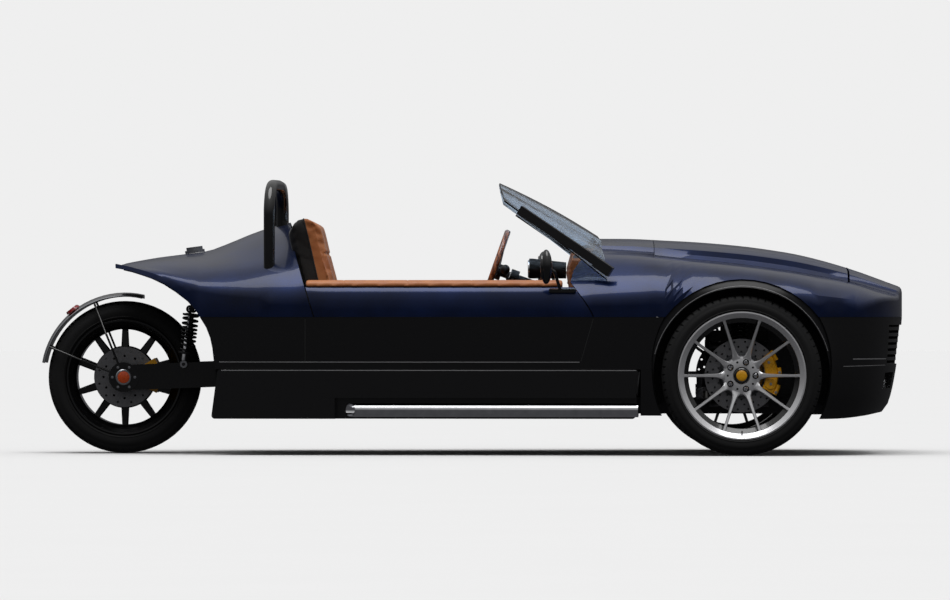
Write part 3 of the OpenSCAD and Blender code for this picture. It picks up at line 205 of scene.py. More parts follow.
# Silver pinstripe vinyl, also laid as painted highlights along edges that catch the light
STRIPE_AND_HIGHLIGHT = mottled("silver_pinstripe_and_painted_highlight", "#8c8c8e", "#aaaaac", (0.35, 0.5), 3 * MM, 0.01 * MM, Metallic=0.4)
MIRROR = mottled("mirror_silvering", "#d5d8dc", "#e6e8ea", (0.01, 0.03), 80 * MM, 0.005 * MM, Metallic=1.0)
DIAL = mottled("printed_dial", "#f2f0ea", "#faf8f2", (0.4, 0.5), 10 * MM, 0.01 * MM)


# ---------- Shapes ----------
class Shape:
    """Points and faces of one piece, with a material number for each face."""

    def __init__(self):
        self.points, self.faces, self.skins = [], [], []

    def join(self, points, faces, skin=0, place=None):
        base = len(self.points)
        self.points += [place @ Vector(p) if place else Vector(p) for p in points]
        self.faces += [tuple(i + base for i in f) for f in faces]
        self.skins += [skin] * len(faces)
        return self

    def lathe(self, profile, steps=96, skin=0, place=None, closed=True):
        """Turns a profile of (y, radius) about the Y axis."""
        n = len(profile)
        points = [(r * math.cos(TAU * i / steps), y, r * math.sin(TAU * i / steps))
                  for i in range(steps) for y, r in profile]
        faces = [(i * n + j, i * n + (j + 1) % n, (i + 1) % steps * n + (j + 1) % n, (i + 1) % steps * n + j)
                 for i in range(steps) for j in range(n if closed else n - 1)]
        return self.join(points, faces, skin, place)

    def knob(self, profile, steps=24, skin=0, place=None):
        """A lathe shape whose profile starts and ends on the axis, so that it is closed."""
        inner = profile[1:-1]
        n = len(inner)
        points = [(r * math.cos(TAU * i / steps), y, r * math.sin(TAU * i / steps))
                  for i in range(steps) for y, r in inner]
        points += [(0, profile[0][0], 0), (0, profile[-1][0], 0)]
        faces = [(i * n + j, i * n + j + 1, (i + 1) % steps * n + j + 1, (i + 1) % steps * n + j)
                 for i in range(steps) for j in range(n - 1)]
        faces += [(i * n, (i + 1) % steps * n, steps * n) for i in range(steps)]
        faces += [((i + 1) % steps * n + n - 1, i * n + n - 1, steps * n + 1) for i in range(steps)]
        return self.join(points, faces, skin, place)

    def tube(self, path, radius, sides=12, skin=0, place=None, loop=False):
        """Sweeps a round section along a path. The radius may change from point to point."""
        path = [Vector(p) for p in path]
        count = len(path)
        side = None
        points = []
        for i, p in enumerate(path):
            ahead = path[(i + 1) % count] if loop or i < count - 1 else p
            behind = path[i - 1] if loop or i else p
            way = (ahead - behind).normalized()
            if side is None:
                side = way.orthogonal().normalized()
            side = (side - way * side.dot(way)).normalized()
            up = way.cross(side)
            r = radius[i] if isinstance(radius, (list, tuple)) else radius
            points += [p + (side * math.cos(TAU * k / sides) + up * math.sin(TAU * k / sides)) * r for k in range(sides)]
        spans = count if loop else count - 1
        faces = [(i * sides + k, i * sides + (k + 1) % sides, (i + 1) % count * sides + (k + 1) % sides,
                  (i + 1) % count * sides + k) for i in range(spans) for k in range(sides)]
        if not loop:
            faces += [tuple(range(sides - 1, -1, -1)), tuple(range((count - 1) * sides, count * sides))]
        return self.join(points, faces, skin, place)

    def block(self, low, high, edge=1.5 * MM, skin=0, place=None):
        """A box with its edges rounded off."""
        made = bmesh.new()
        bmesh.ops.create_cube(made, size=1)
        low, high = Vector(low), Vector(high)
        for v in made.verts:
            v.co = Vector((low[i] + (v.co[i] + 0.5) * (high[i] - low[i]) for i in range(3)))
        bmesh.ops.bevel(made, geom=made.edges[:], offset=min(edge, min(high - low) * 0.45), segments=2, affect="EDGES",
                        profile=0.5)
        made.verts.index_update()
        points = [v.co.copy() for v in made.verts]
        faces = [tuple(v.index for v in f.verts) for f in made.faces]
        made.free()
        return self.join(points, faces, skin, place)

    def loft(self, rings, skin=0, place=None):
        """Closed rings of as many points each, capped at both ends."""
        n = len(rings[0])
        points = [p for ring in rings for p in ring]
        faces = [(i * n + k, i * n + (k + 1) % n, (i + 1) * n + (k + 1) % n, (i + 1) * n + k)
                 for i in range(len(rings) - 1) for k in range(n)]
        faces += [tuple(range(n - 1, -1, -1)), tuple(range((len(rings) - 1) * n, len(rings) * n))]
        return self.join(points, faces, skin, place)


def smooth(piece, angle=34):
    """Shades a piece smooth, but keeps edges that turn more than the angle sharp."""
    piece.data.polygons.foreach_set("use_smooth", [True] * len(piece.data.polygons))
    split = piece.modifiers.new("crisp_edges", "EDGE_SPLIT")
    split.split_angle = math.radians(angle)


def build(name, shape, body, skins, at=(0, 0, 0), angle=34):
    """Makes a piece of a shape at a place and lets it ride on a body."""
    mesh = bpy.data.meshes.new(name)
    mesh.from_pydata([tuple(p) for p in shape.points], [], shape.faces)
    mesh.validate()
    for material in skins:
        mesh.materials.append(material)
    mesh.polygons.foreach_set("material_index", shape.skins)
    tidy = bmesh.new()
    tidy.from_mesh(mesh)
    bmesh.ops.recalc_face_normals(tidy, faces=tidy.faces)
    tidy.to_mesh(mesh)
    tidy.free()
    piece = bpy.data.objects.new(name, mesh)
    bpy.context.scene.collection.objects.link(piece)
    piece.location = at
    smooth(piece, angle)
    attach(piece, body)
    return piece


def finish_node(node, material, angle=30):
    """Gives a CAD node its material, and smooth shading over its facets."""
    piece = NODES[node]
    piece.data.materials.clear()
    piece.data.materials.append(material)
    bpy.context.view_layer.objects.active = piece
    bpy.ops.mesh.customdata_custom_splitnormals_clear()
    weld = piece.modifiers.new("joined_facets", "WELD")
    weld.merge_threshold = 0.02 * MM
    smooth(piece, angle)


for names, material in (
        (("front_body", "hood", "rear_deck", "side_panels"), PAINT),
        (("lower_panels", "side_steps"), GEL),
        (("front_fascia", "grille", "arch_liners", "rear_wheelhouse", "seat_bulkhead", "firewall",
          "instrument_pod", "console", "steering_column", "windscreen_frame"), ABS),
        (("cockpit_tub",), FELT),
        (("roll_hoops", "mirrors", "rear_fender", "swingarm"), ENAMEL),
        (("front_subframe", "wishbones"), POWDER),
        (("exhaust_pipes",), CHROME),
        (("fuel_cap", "steering_rack"), ANODISED),
        (("engine_block", "left_knuckle", "right_knuckle"), CASTING),
        (("drive_shafts", "tie_rods"), ZINC),
        (("headlamps",), LENS),
        (("tail_lamps",), RED),
        (("windscreen_glass",), GLASS),
        (("dashboard", "sill_pads", "seat_cushions", "seat_backs", "steering_wheel"), TAN),
        (("front_coilovers", "rear_coilovers"), POWDER),
        (("left_disc", "right_disc", "rear_disc"), DISC),
        (("left_caliper", "right_caliper", "rear_caliper"), YELLOW),
        (("left_rim", "right_rim"), SILVER),
        (("rear_rim",), ENAMEL),
        (("left_tyre", "right_tyre", "rear_tyre"), RUBBER)):
    for node in names:
        finish_node(node, material)
        if material is PAINT:
            # Large faces lead the shading, so that thin ones do not crease the reflections
            NODES[node].modifiers.new("even_reflections", "WEIGHTED_NORMAL")


# ---------- Wheels ----------
def mix(a, b, t):
    return a + (b - a) * t


def scaled(profile):
    return [(y * MM, r * MM) for y, r in profile]


def tyre(name, body, node, at, radius, half, bead, side):
    """A low tyre: ribbed sidewalls, a shoulder, four grooves round the tread and slots across its edges."""
    wall = [(half - 14, bead), (half - 9.5, bead + 4), (half - 5, bead + 7), (half - 2.2, bead + 10),
            (half - 0.8, bead + 13), (half - 2.4, bead + 15.5), (half - 1.4, bead + 22), (half - 0.6, bead + 30)]
    depth = radius - bead
    wall += [(half - 1.4, bead + depth * 0.58), (half - 2.6, bead + depth * 0.6), (half - 3.4, bead + depth * 0.68),
             (half - 7, bead + depth * 0.8), (half - 12, bead + depth * 0.9), (half - 19, radius - 3.2),
             (half - 27, radius - 1.6)]
    grooves = [half * 0.58, half * 0.2]
    tread = []
    for g in grooves:
        tread += [(g + 5, radius - 0.6), (g + 3.6, radius - 7), (g - 3.6, radius - 7), (g - 5, radius - 0.4)]
    outer = wall + tread
    profile = outer + [(-y, r) for y, r in reversed(outer)]
    shape = Shape()
    pitch = 64
    lines = []
    for i in range(pitch):
        for share, cut in ((0.0, 0), (0.72, 0), (0.76, 1), (0.96, 1)):
            lines.append(((i + share) / pitch * TAU, cut))
    n = len(profile)
    points = []
    for a, cut in lines:
        for y, r in profile:
            edge = cut and half * 0.62 < abs(y) < half - 10 and r > radius - 12
            rr = r - (5.0 if edge else 0)
            lean = 0.035 * (1 - abs(y) / half) * (1 if y > 0 else -1)
            points.append((rr * MM * math.cos(a + lean), y * side * MM, rr * MM * math.sin(a + lean)))
    faces = [(i * n + j, i * n + (j + 1) % n, (i + 1) % len(lines) * n + (j + 1) % n, (i + 1) % len(lines) * n + j)
             for i in range(len(lines)) for j in range(n)]
    shape.join(points, faces)
    piece = build(name, shape, body, [RUBBER], at, angle=40)
    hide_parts(node)
    return piece


def spoke(shape, angle, r0, r1, width, face, thick, side, skin=0, steps=14):
    """One cast spoke along a radius, with a flat face between two chamfers."""
    rings = []
    for i in range(steps + 1):
        r = mix(r0, r1, i / steps)
        w, y, t = width(r) / 2, face(r), thick(r)
        ring = [(-w, y - t), (-w, y - t * 0.3), (-w * 0.62, y), (w * 0.62, y), (w, y - t * 0.3), (w, y - t)]
        rings.append([Vector((r * MM, yy * side * MM, x * MM)) for x, yy in ring])
    shape.loft(rings, skin, Matrix.Rotation(-angle, 4, "Y"))


def front_rim(side, body, node, at):
    """Cast wheel with ten thin spokes, a bright lip and a black barrel behind."""
    shape = Shape()
    y = lambda profile: [(a * side, b) for a, b in scaled(profile)]
    shape.lathe(y([(97, 237), (102, 244), (106.5, 251), (110.3, 257), (109.6, 262.4), (104.5, 262.8), (99, 259),
                   (93, 252), (93, 244)]), 128)
    shape.lathe(y([(93, 243), (93, 251), (60, 246), (44, 224), (-44, 224), (-60, 246), (-92, 251.5), (-104, 262.6),
                   (-110, 260), (-104, 254), (-93, 246), (-60, 238), (-44, 218), (44, 218), (60, 238)]), 128, 1)
    width = lambda r: mix(15, 11, (r - 70) / 180) + 34 * math.exp(-(r - 66) / 15) + 9 * math.exp((r - 246) / 9)
    face = lambda r: 47 + 51 * ((r - 60) / 184) ** 0.85
    thick = lambda r: mix(15, 13, (r - 60) / 184)
    for i in range(10):
        spoke(shape, i * TAU / 10, 60, 245, width, face, thick, side)
    shape.lathe(y([(22, 34), (22, 78), (40, 80), (48, 76), (50.5, 68), (50.5, 36), (46, 32.5), (42, 32.5)]), 96)
    # Five nuts in dark pockets, with five drain holes between them
    for i in range(5):
        a = i * TAU / 5
        spot = Matrix.Translation((57 * MM * math.cos(a), 50.4 * side * MM, 57 * MM * math.sin(a)))
        shape.lathe(y([(0, 7.5), (0.8, 13.5), (0.9, 12.5), (0.6, 8.0)]), 20, 1, spot)
        nut = [(0, 0), (0, 9.5), (7, 9.5), (9, 7.5), (9.3, 0)]
        shape.knob([(a2 * side * MM, b * MM) for a2, b in nut], 6, 2, spot)
        a += TAU / 10
        spot = Matrix.Translation((57 * MM * math.cos(a), 50.3 * side * MM, 57 * MM * math.sin(a)))
        shape.knob([(a2 * side * MM, b * MM) for a2, b in [(0, 0), (0, 4.6), (0.7, 4.2), (0.7, 0)]], 14, 1, spot)
    shape.lathe(y([(46, 22), (46, 31.5), (52, 31), (54.5, 27), (54, 22.5)]), 48, 1)
    shape.knob(y([(47, 0), (47, 22.3), (53.5, 22.2), (55.5, 19), (56.4, 10), (56.6, 0)]), 48, 3)
    # Valve stem
    shape.tube([(0, 90 * side * MM, -236 * MM), (0, 108 * side * MM, -228 * MM)], 3.5 * MM, 10, 1)
    # Weights and inner ring of the barrel's face
    shape.lathe(y([(90, 236), (94, 238.5), (91, 242), (86, 242)]), 128, 1)
    piece = build(name=f"{body}_spoked_rim", shape=shape, body=body, skins=[SILVER, ENAMEL, CHROME, YELLOW],
                  at=at)
    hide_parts(node)


def drilled_disc(name, body, nodes, at, discs, hat, holes, skins=None):
    """Brake discs: drilled friction rings, with cross holes in a spiral, and their hats."""
    shape = Shape()
    for low, high, r0, r1 in discs:
        shape.lathe(scaled([(low, r0), (low, r1 - 1), (low + 1, r1), (high - 1, r1), (high, r1 - 1), (high, r0)]), 128)
    piece = build(name, shape, body, [DISC, POWDER], at)
    cutters = Shape()
    for low, high, r0, r1 in discs:
        for i in range(holes):
            for row in range(3):
                a = TAU * (i + row * 0.33) / holes
                r = mix(r0 + 10, r1 - 12, row / 2)
                spot = Matrix.Translation((r * MM * math.cos(a), 0, r * MM * math.sin(a)))
                cutters.knob(scaled([(low - 2, 0), (low - 2, 4.5), (high + 2, 4.5), (high + 2, 0)]), 10, 0, spot)
    mesh = bpy.data.meshes.new("drill")
    mesh.from_pydata([tuple(p) for p in cutters.points], [], cutters.faces)
    drill = bpy.data.objects.new("drill", mesh)
    bpy.context.scene.collection.objects.link(drill)
    drill.location = at
    cut = piece.modifiers.new("drilled", "BOOLEAN")
    cut.object, cut.solver = drill, "FAST"
    bpy.context.view_layer.objects.active = piece
    bpy.ops.object.modifier_move_to_index(modifier=cut.name, index=0)
    bpy.ops.object.modifier_apply(modifier=cut.name)
    bpy.data.objects.remove(drill)
    if hat:
        extra = Shape()
        for profile in hat:
            extra.lathe(scaled(profile), 96)
        bell = build(name + "_bell", extra, body, [ANODISED], at)
        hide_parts(*nodes)
    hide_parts(*nodes)


def caliper(name, body, node, at, side):
    """Four piston caliper: two lobed halves that straddle the disc, bridged outside it and bolted together."""
    shape = Shape()

    def arc(r0, r1, y0, y1, a0, a1, steps=18, bulge=0.0):
        rings = []
        for i in range(steps + 1):
            t = i / steps
            a = math.radians(mix(a0, a1, t))
            swell = bulge * math.sin(math.pi * t * 2) ** 2
            ring = [(r0 + 2, y0), (r0, y0 + 3), (r0, y1 - 3), (r0 + 4, y1 + swell), (r1 - 5, y1 + swell), (r1, y1 - 4),
                    (r1, y0 + 3), (r1 - 2, y0)]
            rings.append([Vector((r * MM * math.cos(a), yy * side * MM, r * MM * math.sin(a))) for r, yy in ring])
        shape.loft(rings)

    arc(98, 150, 17, 38, -30, 40, bulge=4)
    arc(98, 150, -18, 1, -30, 40)
    for a0, a1 in ((-30, -14), (-2, 12), (24, 40)):
        arc(149, 164, -18, 42, a0, a1, 8)
    for a in (-16, 26):
        spot = Matrix.Rotation(math.radians(-a), 4, "Y") @ Matrix.Translation((124 * MM, 0, 0))
        shape.knob([(yy * side * MM, r * MM) for yy, r in [(30, 0), (30, 23), (41, 23), (43.5, 20), (44, 0)]], 28, 0, spot)
        shape.knob([(yy * side * MM, r * MM) for yy, r in [(43, 0), (43, 6), (45.3, 6), (45.4, 0)]], 6, 1, spot)
    for a in (-26, 5, 36):
        spot = Matrix.Rotation(math.radians(-a), 4, "Y") @ Matrix.Translation((156 * MM, 0, 0))
        shape.knob([(yy * side * MM, r * MM) for yy, r in [(41, 0), (41, 6), (47, 6), (47.2, 0)]], 6, 1, spot)
    piece = build(name, shape, body, [YELLOW, ZINC], at)
    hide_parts(node)


for side, word in ((1, "left"), (-1, "right")):
    spin = JOINTS[f"{word}_wheel_spin"]["pos_m"]
    tyre(f"{word}_front_tyre", f"{word}_wheel", f"{word}_tyre", spin, 328, 112.4, 257, side)
    front_rim(side, f"{word}_wheel", f"{word}_rim", spin)
    flip = [(low * side, high * side, r0, r1) if side > 0 else (high * side, low * side, r0, r1)
            for low, high, r0, r1 in [(4.2, 15, 88, 151.5)]]
    bell = [(15, 62), (15, 92), (18, 94), (22, 90), (38, 84), (41.5, 80), (41.5, 34), (37, 34), (37, 76), (20, 80),
            (19, 62)]
    drilled_disc(f"{word}_brake_disc", f"{word}_wheel", [f"{word}_disc"], spin, flip,
                 [[(y * side, r) for y, r in bell]], 20)
    caliper(f"{word}_four_piston_caliper", f"{word}_upright", f"{word}_caliper", spin, side)


def rear_rim():
    """Black cast wheel with ten broad spokes round a wide hub."""
    shape = Shape()
    shape.lathe(scaled([(135, 232), (135.4, 239), (131, 243.6), (124, 243.6), (116, 236), (112, 231), (90, 204),
                        (-90, 204), (-112, 231), (-116, 236), (-124, 243.6), (-131, 243.6), (-135.4, 239), (-135, 232),
                        (-126, 225), (-92, 199), (92, 199), (126, 225)]), 128)
    for i in range(10):
        a = (i + 0.5) * TAU / 10
        rings = []
        for r in (96, 120, 150, 175, 198, 206):
            w = mix(18, 13, (r - 96) / 104) + (8 if r > 200 else 0)
            h = mix(17, 13, (r - 96) / 104)
            ring = [(-w, -h * 0.55), (-w * 0.7, -h), (w * 0.7, -h), (w, -h * 0.55), (w, h * 0.55), (w * 0.7, h),
                    (-w * 0.7, h), (-w, h * 0.55)]
            rings.append([Vector((r * MM, yy * MM, x * MM)) for x, yy in ring])
        shape.loft(rings, 0, Matrix.Rotation(-a, 4, "Y"))
    shape.lathe(scaled([(-18, 24), (-18, 122), (-13, 130), (13, 130), (18, 122), (18, 24)]), 96)
    shape.lathe(scaled([(-69, 20), (-69, 52), (-60, 60), (60, 60), (69, 52), (69, 20)]), 64)
    piece = build("rear_wheel_broad_rim", shape, "rear_wheel", [ENAMEL],
                  JOINTS["rear_wheel_spin"]["pos_m"])
    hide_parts("rear_rim")


REAR = JOINTS["rear_wheel_spin"]["pos_m"]
tyre("rear_wide_tyre", "rear_wheel", "rear_tyre", REAR, 317, 137.4, 238, 1)
rear_rim()


# ---------- Places on the car ----------
AXLE_X = JOINTS["left_wheel_spin"]["pos_m"][0]
AXLE_STATION = 1103


def st(station):
    """X of a station, which is a place along the car in millimetres."""
    return AXLE_X + (station - AXLE_STATION) * MM


def tree_of(*names):
    """A search tree over the faces of CAD nodes."""
    points, faces = [], []
    for name in names:
        base = len(points)
        points += [v.co.copy() for v in NODES[name].data.vertices]
        faces += [tuple(i + base for i in p.vertices) for p in NODES[name].data.polygons]
    return BVHTree.FromPolygons(points, faces)


SKIN = tree_of("front_body", "side_panels", "rear_deck", "lower_panels", "side_steps", "front_fascia", "hood")


def on_skin(x, z, side):
    """The place and the outward normal of the body's side at x and z, seen from that side."""
    hit, normal, _, _ = SKIN.ray_cast(Vector((x, side * 2, z)), Vector((0, -side, 0)))
    if hit is None:
        raise ValueError(f"no skin at {x:.3f} {z:.3f}")
    return hit, normal if normal.y * side > 0 else -normal


def strip(name, path, width, skin, proud=0.5 * MM, deep=0.6 * MM):
    """A thin strip laid on both sides of the body along a path of (station, height)."""
    shape = Shape()
    for side in (1, -1):
        seen = [on_skin(st(s), z * MM, side) for s, z in path]
        rings = []
        for i, (p, out) in enumerate(seen):
            way = (seen[min(i + 1, len(seen) - 1)][0] - seen[max(i - 1, 0)][0]).normalized()
            across = way.cross(out).normalized() * width / 2
            rings.append([p - across - out * deep, p + across - out * deep, p + across + out * proud,
                          p - across + out * proud])
        shape.loft(rings)
    return build(name, shape, "chassis", [skin])


def line(a, b, steps=40):
    return [(mix(a[0], b[0], i / steps), mix(a[1], b[1], i / steps)) for i in range(steps + 1)]


# Fine silver line above the side step, a painted highlight along the step's top edge, and the two joint lines of the
# side
strip("side_pinstripes", line((-1040, 383), (440, 383), 60), 3.2 * MM, STRIPE_AND_HIGHLIGHT)
# Painted highlight: a silver strip where light catches the top edge of the satin black step
strip("step_edge_painted_highlights", line((-1030, 349), (672, 349), 60), 3 * MM, STRIPE_AND_HIGHLIGHT, 0.4 * MM)
strip("rear_side_joints", line((-685, 386), (-685, 560), 12), 3 * MM, HOSE, 0.2 * MM)
strip("front_side_joints", line((446, 386), (496, 560), 12), 3 * MM, HOSE, 0.2 * MM)
strip("nose_upper_grooves", line((1560, 396), (1704, 396), 30), 4 * MM, STRIPE_AND_HIGHLIGHT, 0.3 * MM)
strip("nose_lower_grooves", line((1520, 366), (1700, 370), 30), 2.4 * MM, STRIPE_AND_HIGHLIGHT, 0.3 * MM)


# ---------- Soft goods ----------
def place_points(mesh, points):
    """Moves all points of a mesh at once."""
    mesh.vertices.foreach_set("co", [c for p in points for c in p])
    mesh.update()


def soft_piece(name, node, side, skins, sort, voxel=9 * MM, slim=9 * MM, cap=24 * MM, pressure=4.0, dents=None,
               air=True):
    """Swells a slimmed copy of one side of a soft CAD node with air, then sews its seams.

    sort gives a face's material from its middle and normal, and dents the depth of the sewn channels at a point."""
    source = bmesh.new()
    source.from_mesh(NODES[node].data)
    bmesh.ops.remove_doubles(source, verts=source.verts, dist=0.02 * MM)
    if side:
        bmesh.ops.delete(source, geom=[v for v in source.verts if v.co.y * side < 0], context="VERTS")
    mesh = bpy.data.meshes.new(name)
    source.to_mesh(mesh)
    source.free()
    piece = bpy.data.objects.new(name, mesh)
    bpy.context.scene.collection.objects.link(piece)
    bpy.context.view_layer.objects.active = piece
    remesh = piece.modifiers.new("fabric", "REMESH")
    remesh.mode, remesh.voxel_size = "VOXEL", voxel
    bpy.ops.object.modifier_apply(modifier=remesh.name)
    relax = piece.modifiers.new("relaxed", "SMOOTH")
    relax.factor, relax.iterations = 0.5, 6
    bpy.ops.object.modifier_apply(modifier=relax.name)
    mesh = piece.data
    whole = [v.co.copy() for v in mesh.vertices]
    ways = [v.normal.copy() for v in mesh.vertices]
    start = [p - n * slim for p, n in zip(whole, ways)]
    place_points(mesh, start)
    if air:
        cloth = piece.modifiers.new("air", "CLOTH")
        cloth.settings.quality = 5
        cloth.settings.mass = 0.3
        cloth.settings.use_pressure = True
        cloth.settings.uniform_pressure_force = pressure
        cloth.settings.effector_weights.gravity = 0
        cloth.point_cache.frame_start, cloth.point_cache.frame_end = 1, 20
        for moment in range(1, 21):
            bpy.context.scene.frame_set(moment)
        swollen = piece.evaluated_get(bpy.context.evaluated_depsgraph_get()).to_mesh()
        ends = [v.co.copy() for v in swollen.vertices]
        piece.modifiers.remove(cloth)
        bpy.context.scene.frame_set(1)
        place_points(mesh, [p + (q - p) * min(1.0, cap / max((q - p).length, 1e-6)) for p, q in zip(start, ends)])
    else:
        place_points(mesh, whole)
    fine = piece.modifiers.new("fine", "SUBSURF")
    fine.levels = 1
    bpy.ops.object.modifier_apply(modifier=fine.name)
    mesh = piece.data
    for material in skins:
        mesh.materials.append(material)
    if dents:
        spots = [(v.co.copy(), v.normal.copy()) for v in mesh.vertices]
        place_points(mesh, [p - n * dents(p, n) for p, n in spots])
    mesh.polygons.foreach_set("material_index", [sort(p.center, p.normal) for p in mesh.polygons])
    mesh.polygons.foreach_set("use_smooth", [True] * len(mesh.polygons))
    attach(piece, "chassis")
    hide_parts(node)
    return piece


def seams(mesh):
    """The closed seam lines where two materials of a pad meet."""
    sides = {}
    for p in mesh.polygons:
        for key in p.edge_keys:
            sides.setdefault(key, []).append(p.material_index)
    near = {}
    for (a, b), kinds in sides.items():
        if len(kinds) == 2 and kinds[0] != kinds[1]:
            near.setdefault(a, []).append(b)
            near.setdefault(b, []).append(a)
    loops, used = [], set()
    for first in near:
        loop, here = [], first
        while here is not None and here not in used:
            used.add(here)
            loop.append(here)
            here = next((other for other in near[here] if other not in used), None)
        spots = [mesh.vertices[i].co.copy() for i in loop]
        if len(loop) > 60 and (spots[0] - spots[-1]).length < 25 * MM:
            loops.append(spots)
    return loops


def piping(name, piece, radius, skin):
    """A round cord sewn along a pad's seams."""
    shape = Shape()
    for loop in seams(piece.data):
        n = len(loop)
        for _ in range(12):
            loop = [(loop[i - 1] + loop[i] * 2 + loop[(i + 1) % n]) / 4 for i in range(n)]
        shape.tube(loop[::3], radius, 8, loop=True)
    if shape.points:
        return build(name, shape, "chassis", [skin])


def groove(across, pitch, width):
    """1 at the lines of a pattern of that pitch, and 0 away from them."""
    d = abs((across / pitch + 0.5) % 1 - 0.5) * pitch
    return max(0.0, 1 - (d / width) ** 2)


def fade(value, low, high, soft=18 * MM):
    return min(1.0, max(0.0, (value - low) / soft)) * min(1.0, max(0.0, (high - value) / soft))


def seat(side, word):
    lean = Matrix.Rotation(math.radians(-13), 4, "Y") @ Vector((1, 0, 0))
    up = Matrix.Rotation(math.radians(-13), 4, "Y") @ Vector((0, 0, 1))
    low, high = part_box("seat_backs")
    foot = Vector((st(-473), side * 300 * MM, 182 * MM))

    def back_sort(p, n):
        return 0 if (p - foot).dot(lean) > -38 * MM and (p - foot).dot(up) < 838 * MM or n.dot(lean) > 0.86 else 1

    def back_dents(p, n):
        if n.dot(lean) < 0.5:
            return 0
        q = p - foot
        h = q.dot(up)
        return (5.5 * MM * groove(q.y, 62 * MM, 9 * MM) * fade(q.y, -170 * MM, 170 * MM) * fade(h, 230 * MM, 640 * MM)
                + 5 * MM * max(0, 1 - ((h - 660 * MM) / (9 * MM)) ** 2) * fade(q.y, -185 * MM, 185 * MM)
                - 16 * MM * (abs(q.y) / (215 * MM)) ** 4 * fade(h, 120 * MM, 640 * MM, 80 * MM))

    back = soft_piece(f"{word}_seat_back_pad", "seat_backs", side, [TAN, COAL], back_sort, dents=back_dents)
    piping(f"{word}_seat_back_piping", back, 3.6 * MM, COAL)

    def base_sort(p, n):
        return 0 if n.z > 0.35 or p.z > 260 * MM and n.x > 0 else 1

    def base_dents(p, n):
        if n.z < 0.5:
            return 0
        y = p.y - side * 300 * MM
        return (6 * MM * groove(y, 62 * MM, 9 * MM) * fade(y, -170 * MM, 170 * MM) * fade(p.x, st(-330), st(-40))
                - 8 * MM * (abs(y) / (215 * MM)) ** 4)

    base = soft_piece(f"{word}_seat_base_pad", "seat_cushions", side, [TAN, COAL], base_sort, dents=base_dents)
    piping(f"{word}_seat_base_piping", base, 3.2 * MM, COAL)
    # Harness guide slots: two dark oval rims high in the back
    for y in (-55, 55):
        shape = Shape()
        spot = foot + up * 0.735 + lean * 0.012 + Vector((0, y * MM, 0))
        ring = [spot + up * 0.011 * math.sin(a) + Vector((0, 0.03 * math.cos(a), 0))
                for a in (TAU * i / 32 for i in range(32))]
        shape.tube(ring, 3.2 * MM, 8, loop=True)
        build(f"{word}_seat_slot_rim_{'a' if y < 0 else 'b'}", shape, "chassis", [COAL])


for side, word in ((1, "left"), (-1, "right")):
    seat(side, word)
    sill = soft_piece(f"{word}_sill_pad", "sill_pads", side, [TAN], lambda p, n: 0, voxel=6.5 * MM, slim=1.5 * MM, cap=4 * MM,
                      pressure=2.0, air=False,
                      dents=lambda p, n: 1.6 * MM * groove(p.x, 262 * MM, 3 * MM) if n.z > 0.2 else 0)
dash = soft_piece("dashboard_pad", "dashboard", 0, [TAN, COAL], lambda p, n: 1 if n.z > 0.93 else 0, voxel=9 * MM,
                  slim=3 * MM, cap=6 * MM, pressure=2.0, air=False,
                  dents=lambda p, n: 2.5 * MM * groove(p.z - 764 * MM, 2.0, 6 * MM) if n.x < -0.3 else 0)


# ---------- Springs ----------
def coilover(name, node, body, low, high, coil_r, wire, turns, sleeve, eye_skin):
    """A damper with a threaded sleeve, two collars, a coil spring round it and an eye at each end."""
    low, high = Vector(low), Vector(high)
    way = (high - low).normalized()
    length = (high - low).length
    place = Matrix.Translation(low) @ Vector((0, 1, 0)).rotation_difference(way).to_matrix().to_4x4()
    shape = Shape()
    shape.knob([(16 * MM, 0), (16 * MM, sleeve), (length * 0.6, sleeve), (length * 0.62, sleeve * 0.7), (length * 0.62, 0)],
               32, 1, place)
    for i in range(9):
        y = length * 0.2 + i * 4 * MM
        shape.lathe([(y, sleeve - 0.2 * MM), (y + 1.2 * MM, sleeve + 1.4 * MM), (y + 2.4 * MM, sleeve - 0.2 * MM)], 32, 1,
                    place, closed=False)
    shape.knob([(length * 0.6, 0), (length * 0.6, 6 * MM), (length - 20 * MM, 6 * MM), (length - 20 * MM, 0)], 24, 1, place)
    for y in (length * 0.2, length - 26 * MM):
        shape.lathe([(y, sleeve * 0.5), (y - 3 * MM, coil_r * 0.9), (y, coil_r + wire), (y + 7 * MM, coil_r + wire),
                     (y + 8 * MM, sleeve * 0.5)], 36, 2, place)
    start, end = length * 0.2 + 9 * MM, length - 28 * MM
    steps = turns * 22
    path = []
    for i in range(steps + 1):
        t = i / steps
        ease = t + 0.03 * math.sin(TAU * t)
        path.append(place @ Vector((coil_r * math.cos(TAU * turns * t), mix(start, end, ease),
                                    coil_r * math.sin(TAU * turns * t))))
    shape.tube(path, wire, 10, 0)
    for spot, skin in ((low, eye_skin), (high, 2)):
        turn = Matrix.Translation(spot)
        shape.lathe([(-13 * MM, 7 * MM), (-13 * MM, 15 * MM), (-10 * MM, 17 * MM), (10 * MM, 17 * MM), (13 * MM, 15 * MM),
                     (13 * MM, 7 * MM)], 28, skin, turn)
        shape.knob([(-16 * MM, 0), (-16 * MM, 6.5 * MM), (16 * MM, 6.5 * MM), (16 * MM, 0)], 6, 2, turn)
    piece = build(name, shape, body, [ENAMEL, CHROME, POWDER, ANODISED], angle=40)
    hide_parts(node)


for side, word in ((1, "left"), (-1, "right")):
    coilover(f"{word}_rear_coil_damper", "rear_coilovers", "chassis", (st(-1197), side * 0.2215, 0.371),
             (st(-1170), side * 0.2215, 0.6), 24 * MM, 4.6 * MM, 8, 12 * MM, 3)
    coilover(f"{word}_front_coil_damper", "front_coilovers", "chassis", (AXLE_X, side * 0.506, 0.375),
             (AXLE_X, side * 0.412, 0.6), 32 * MM, 5.5 * MM, 7, 18 * MM, 3)


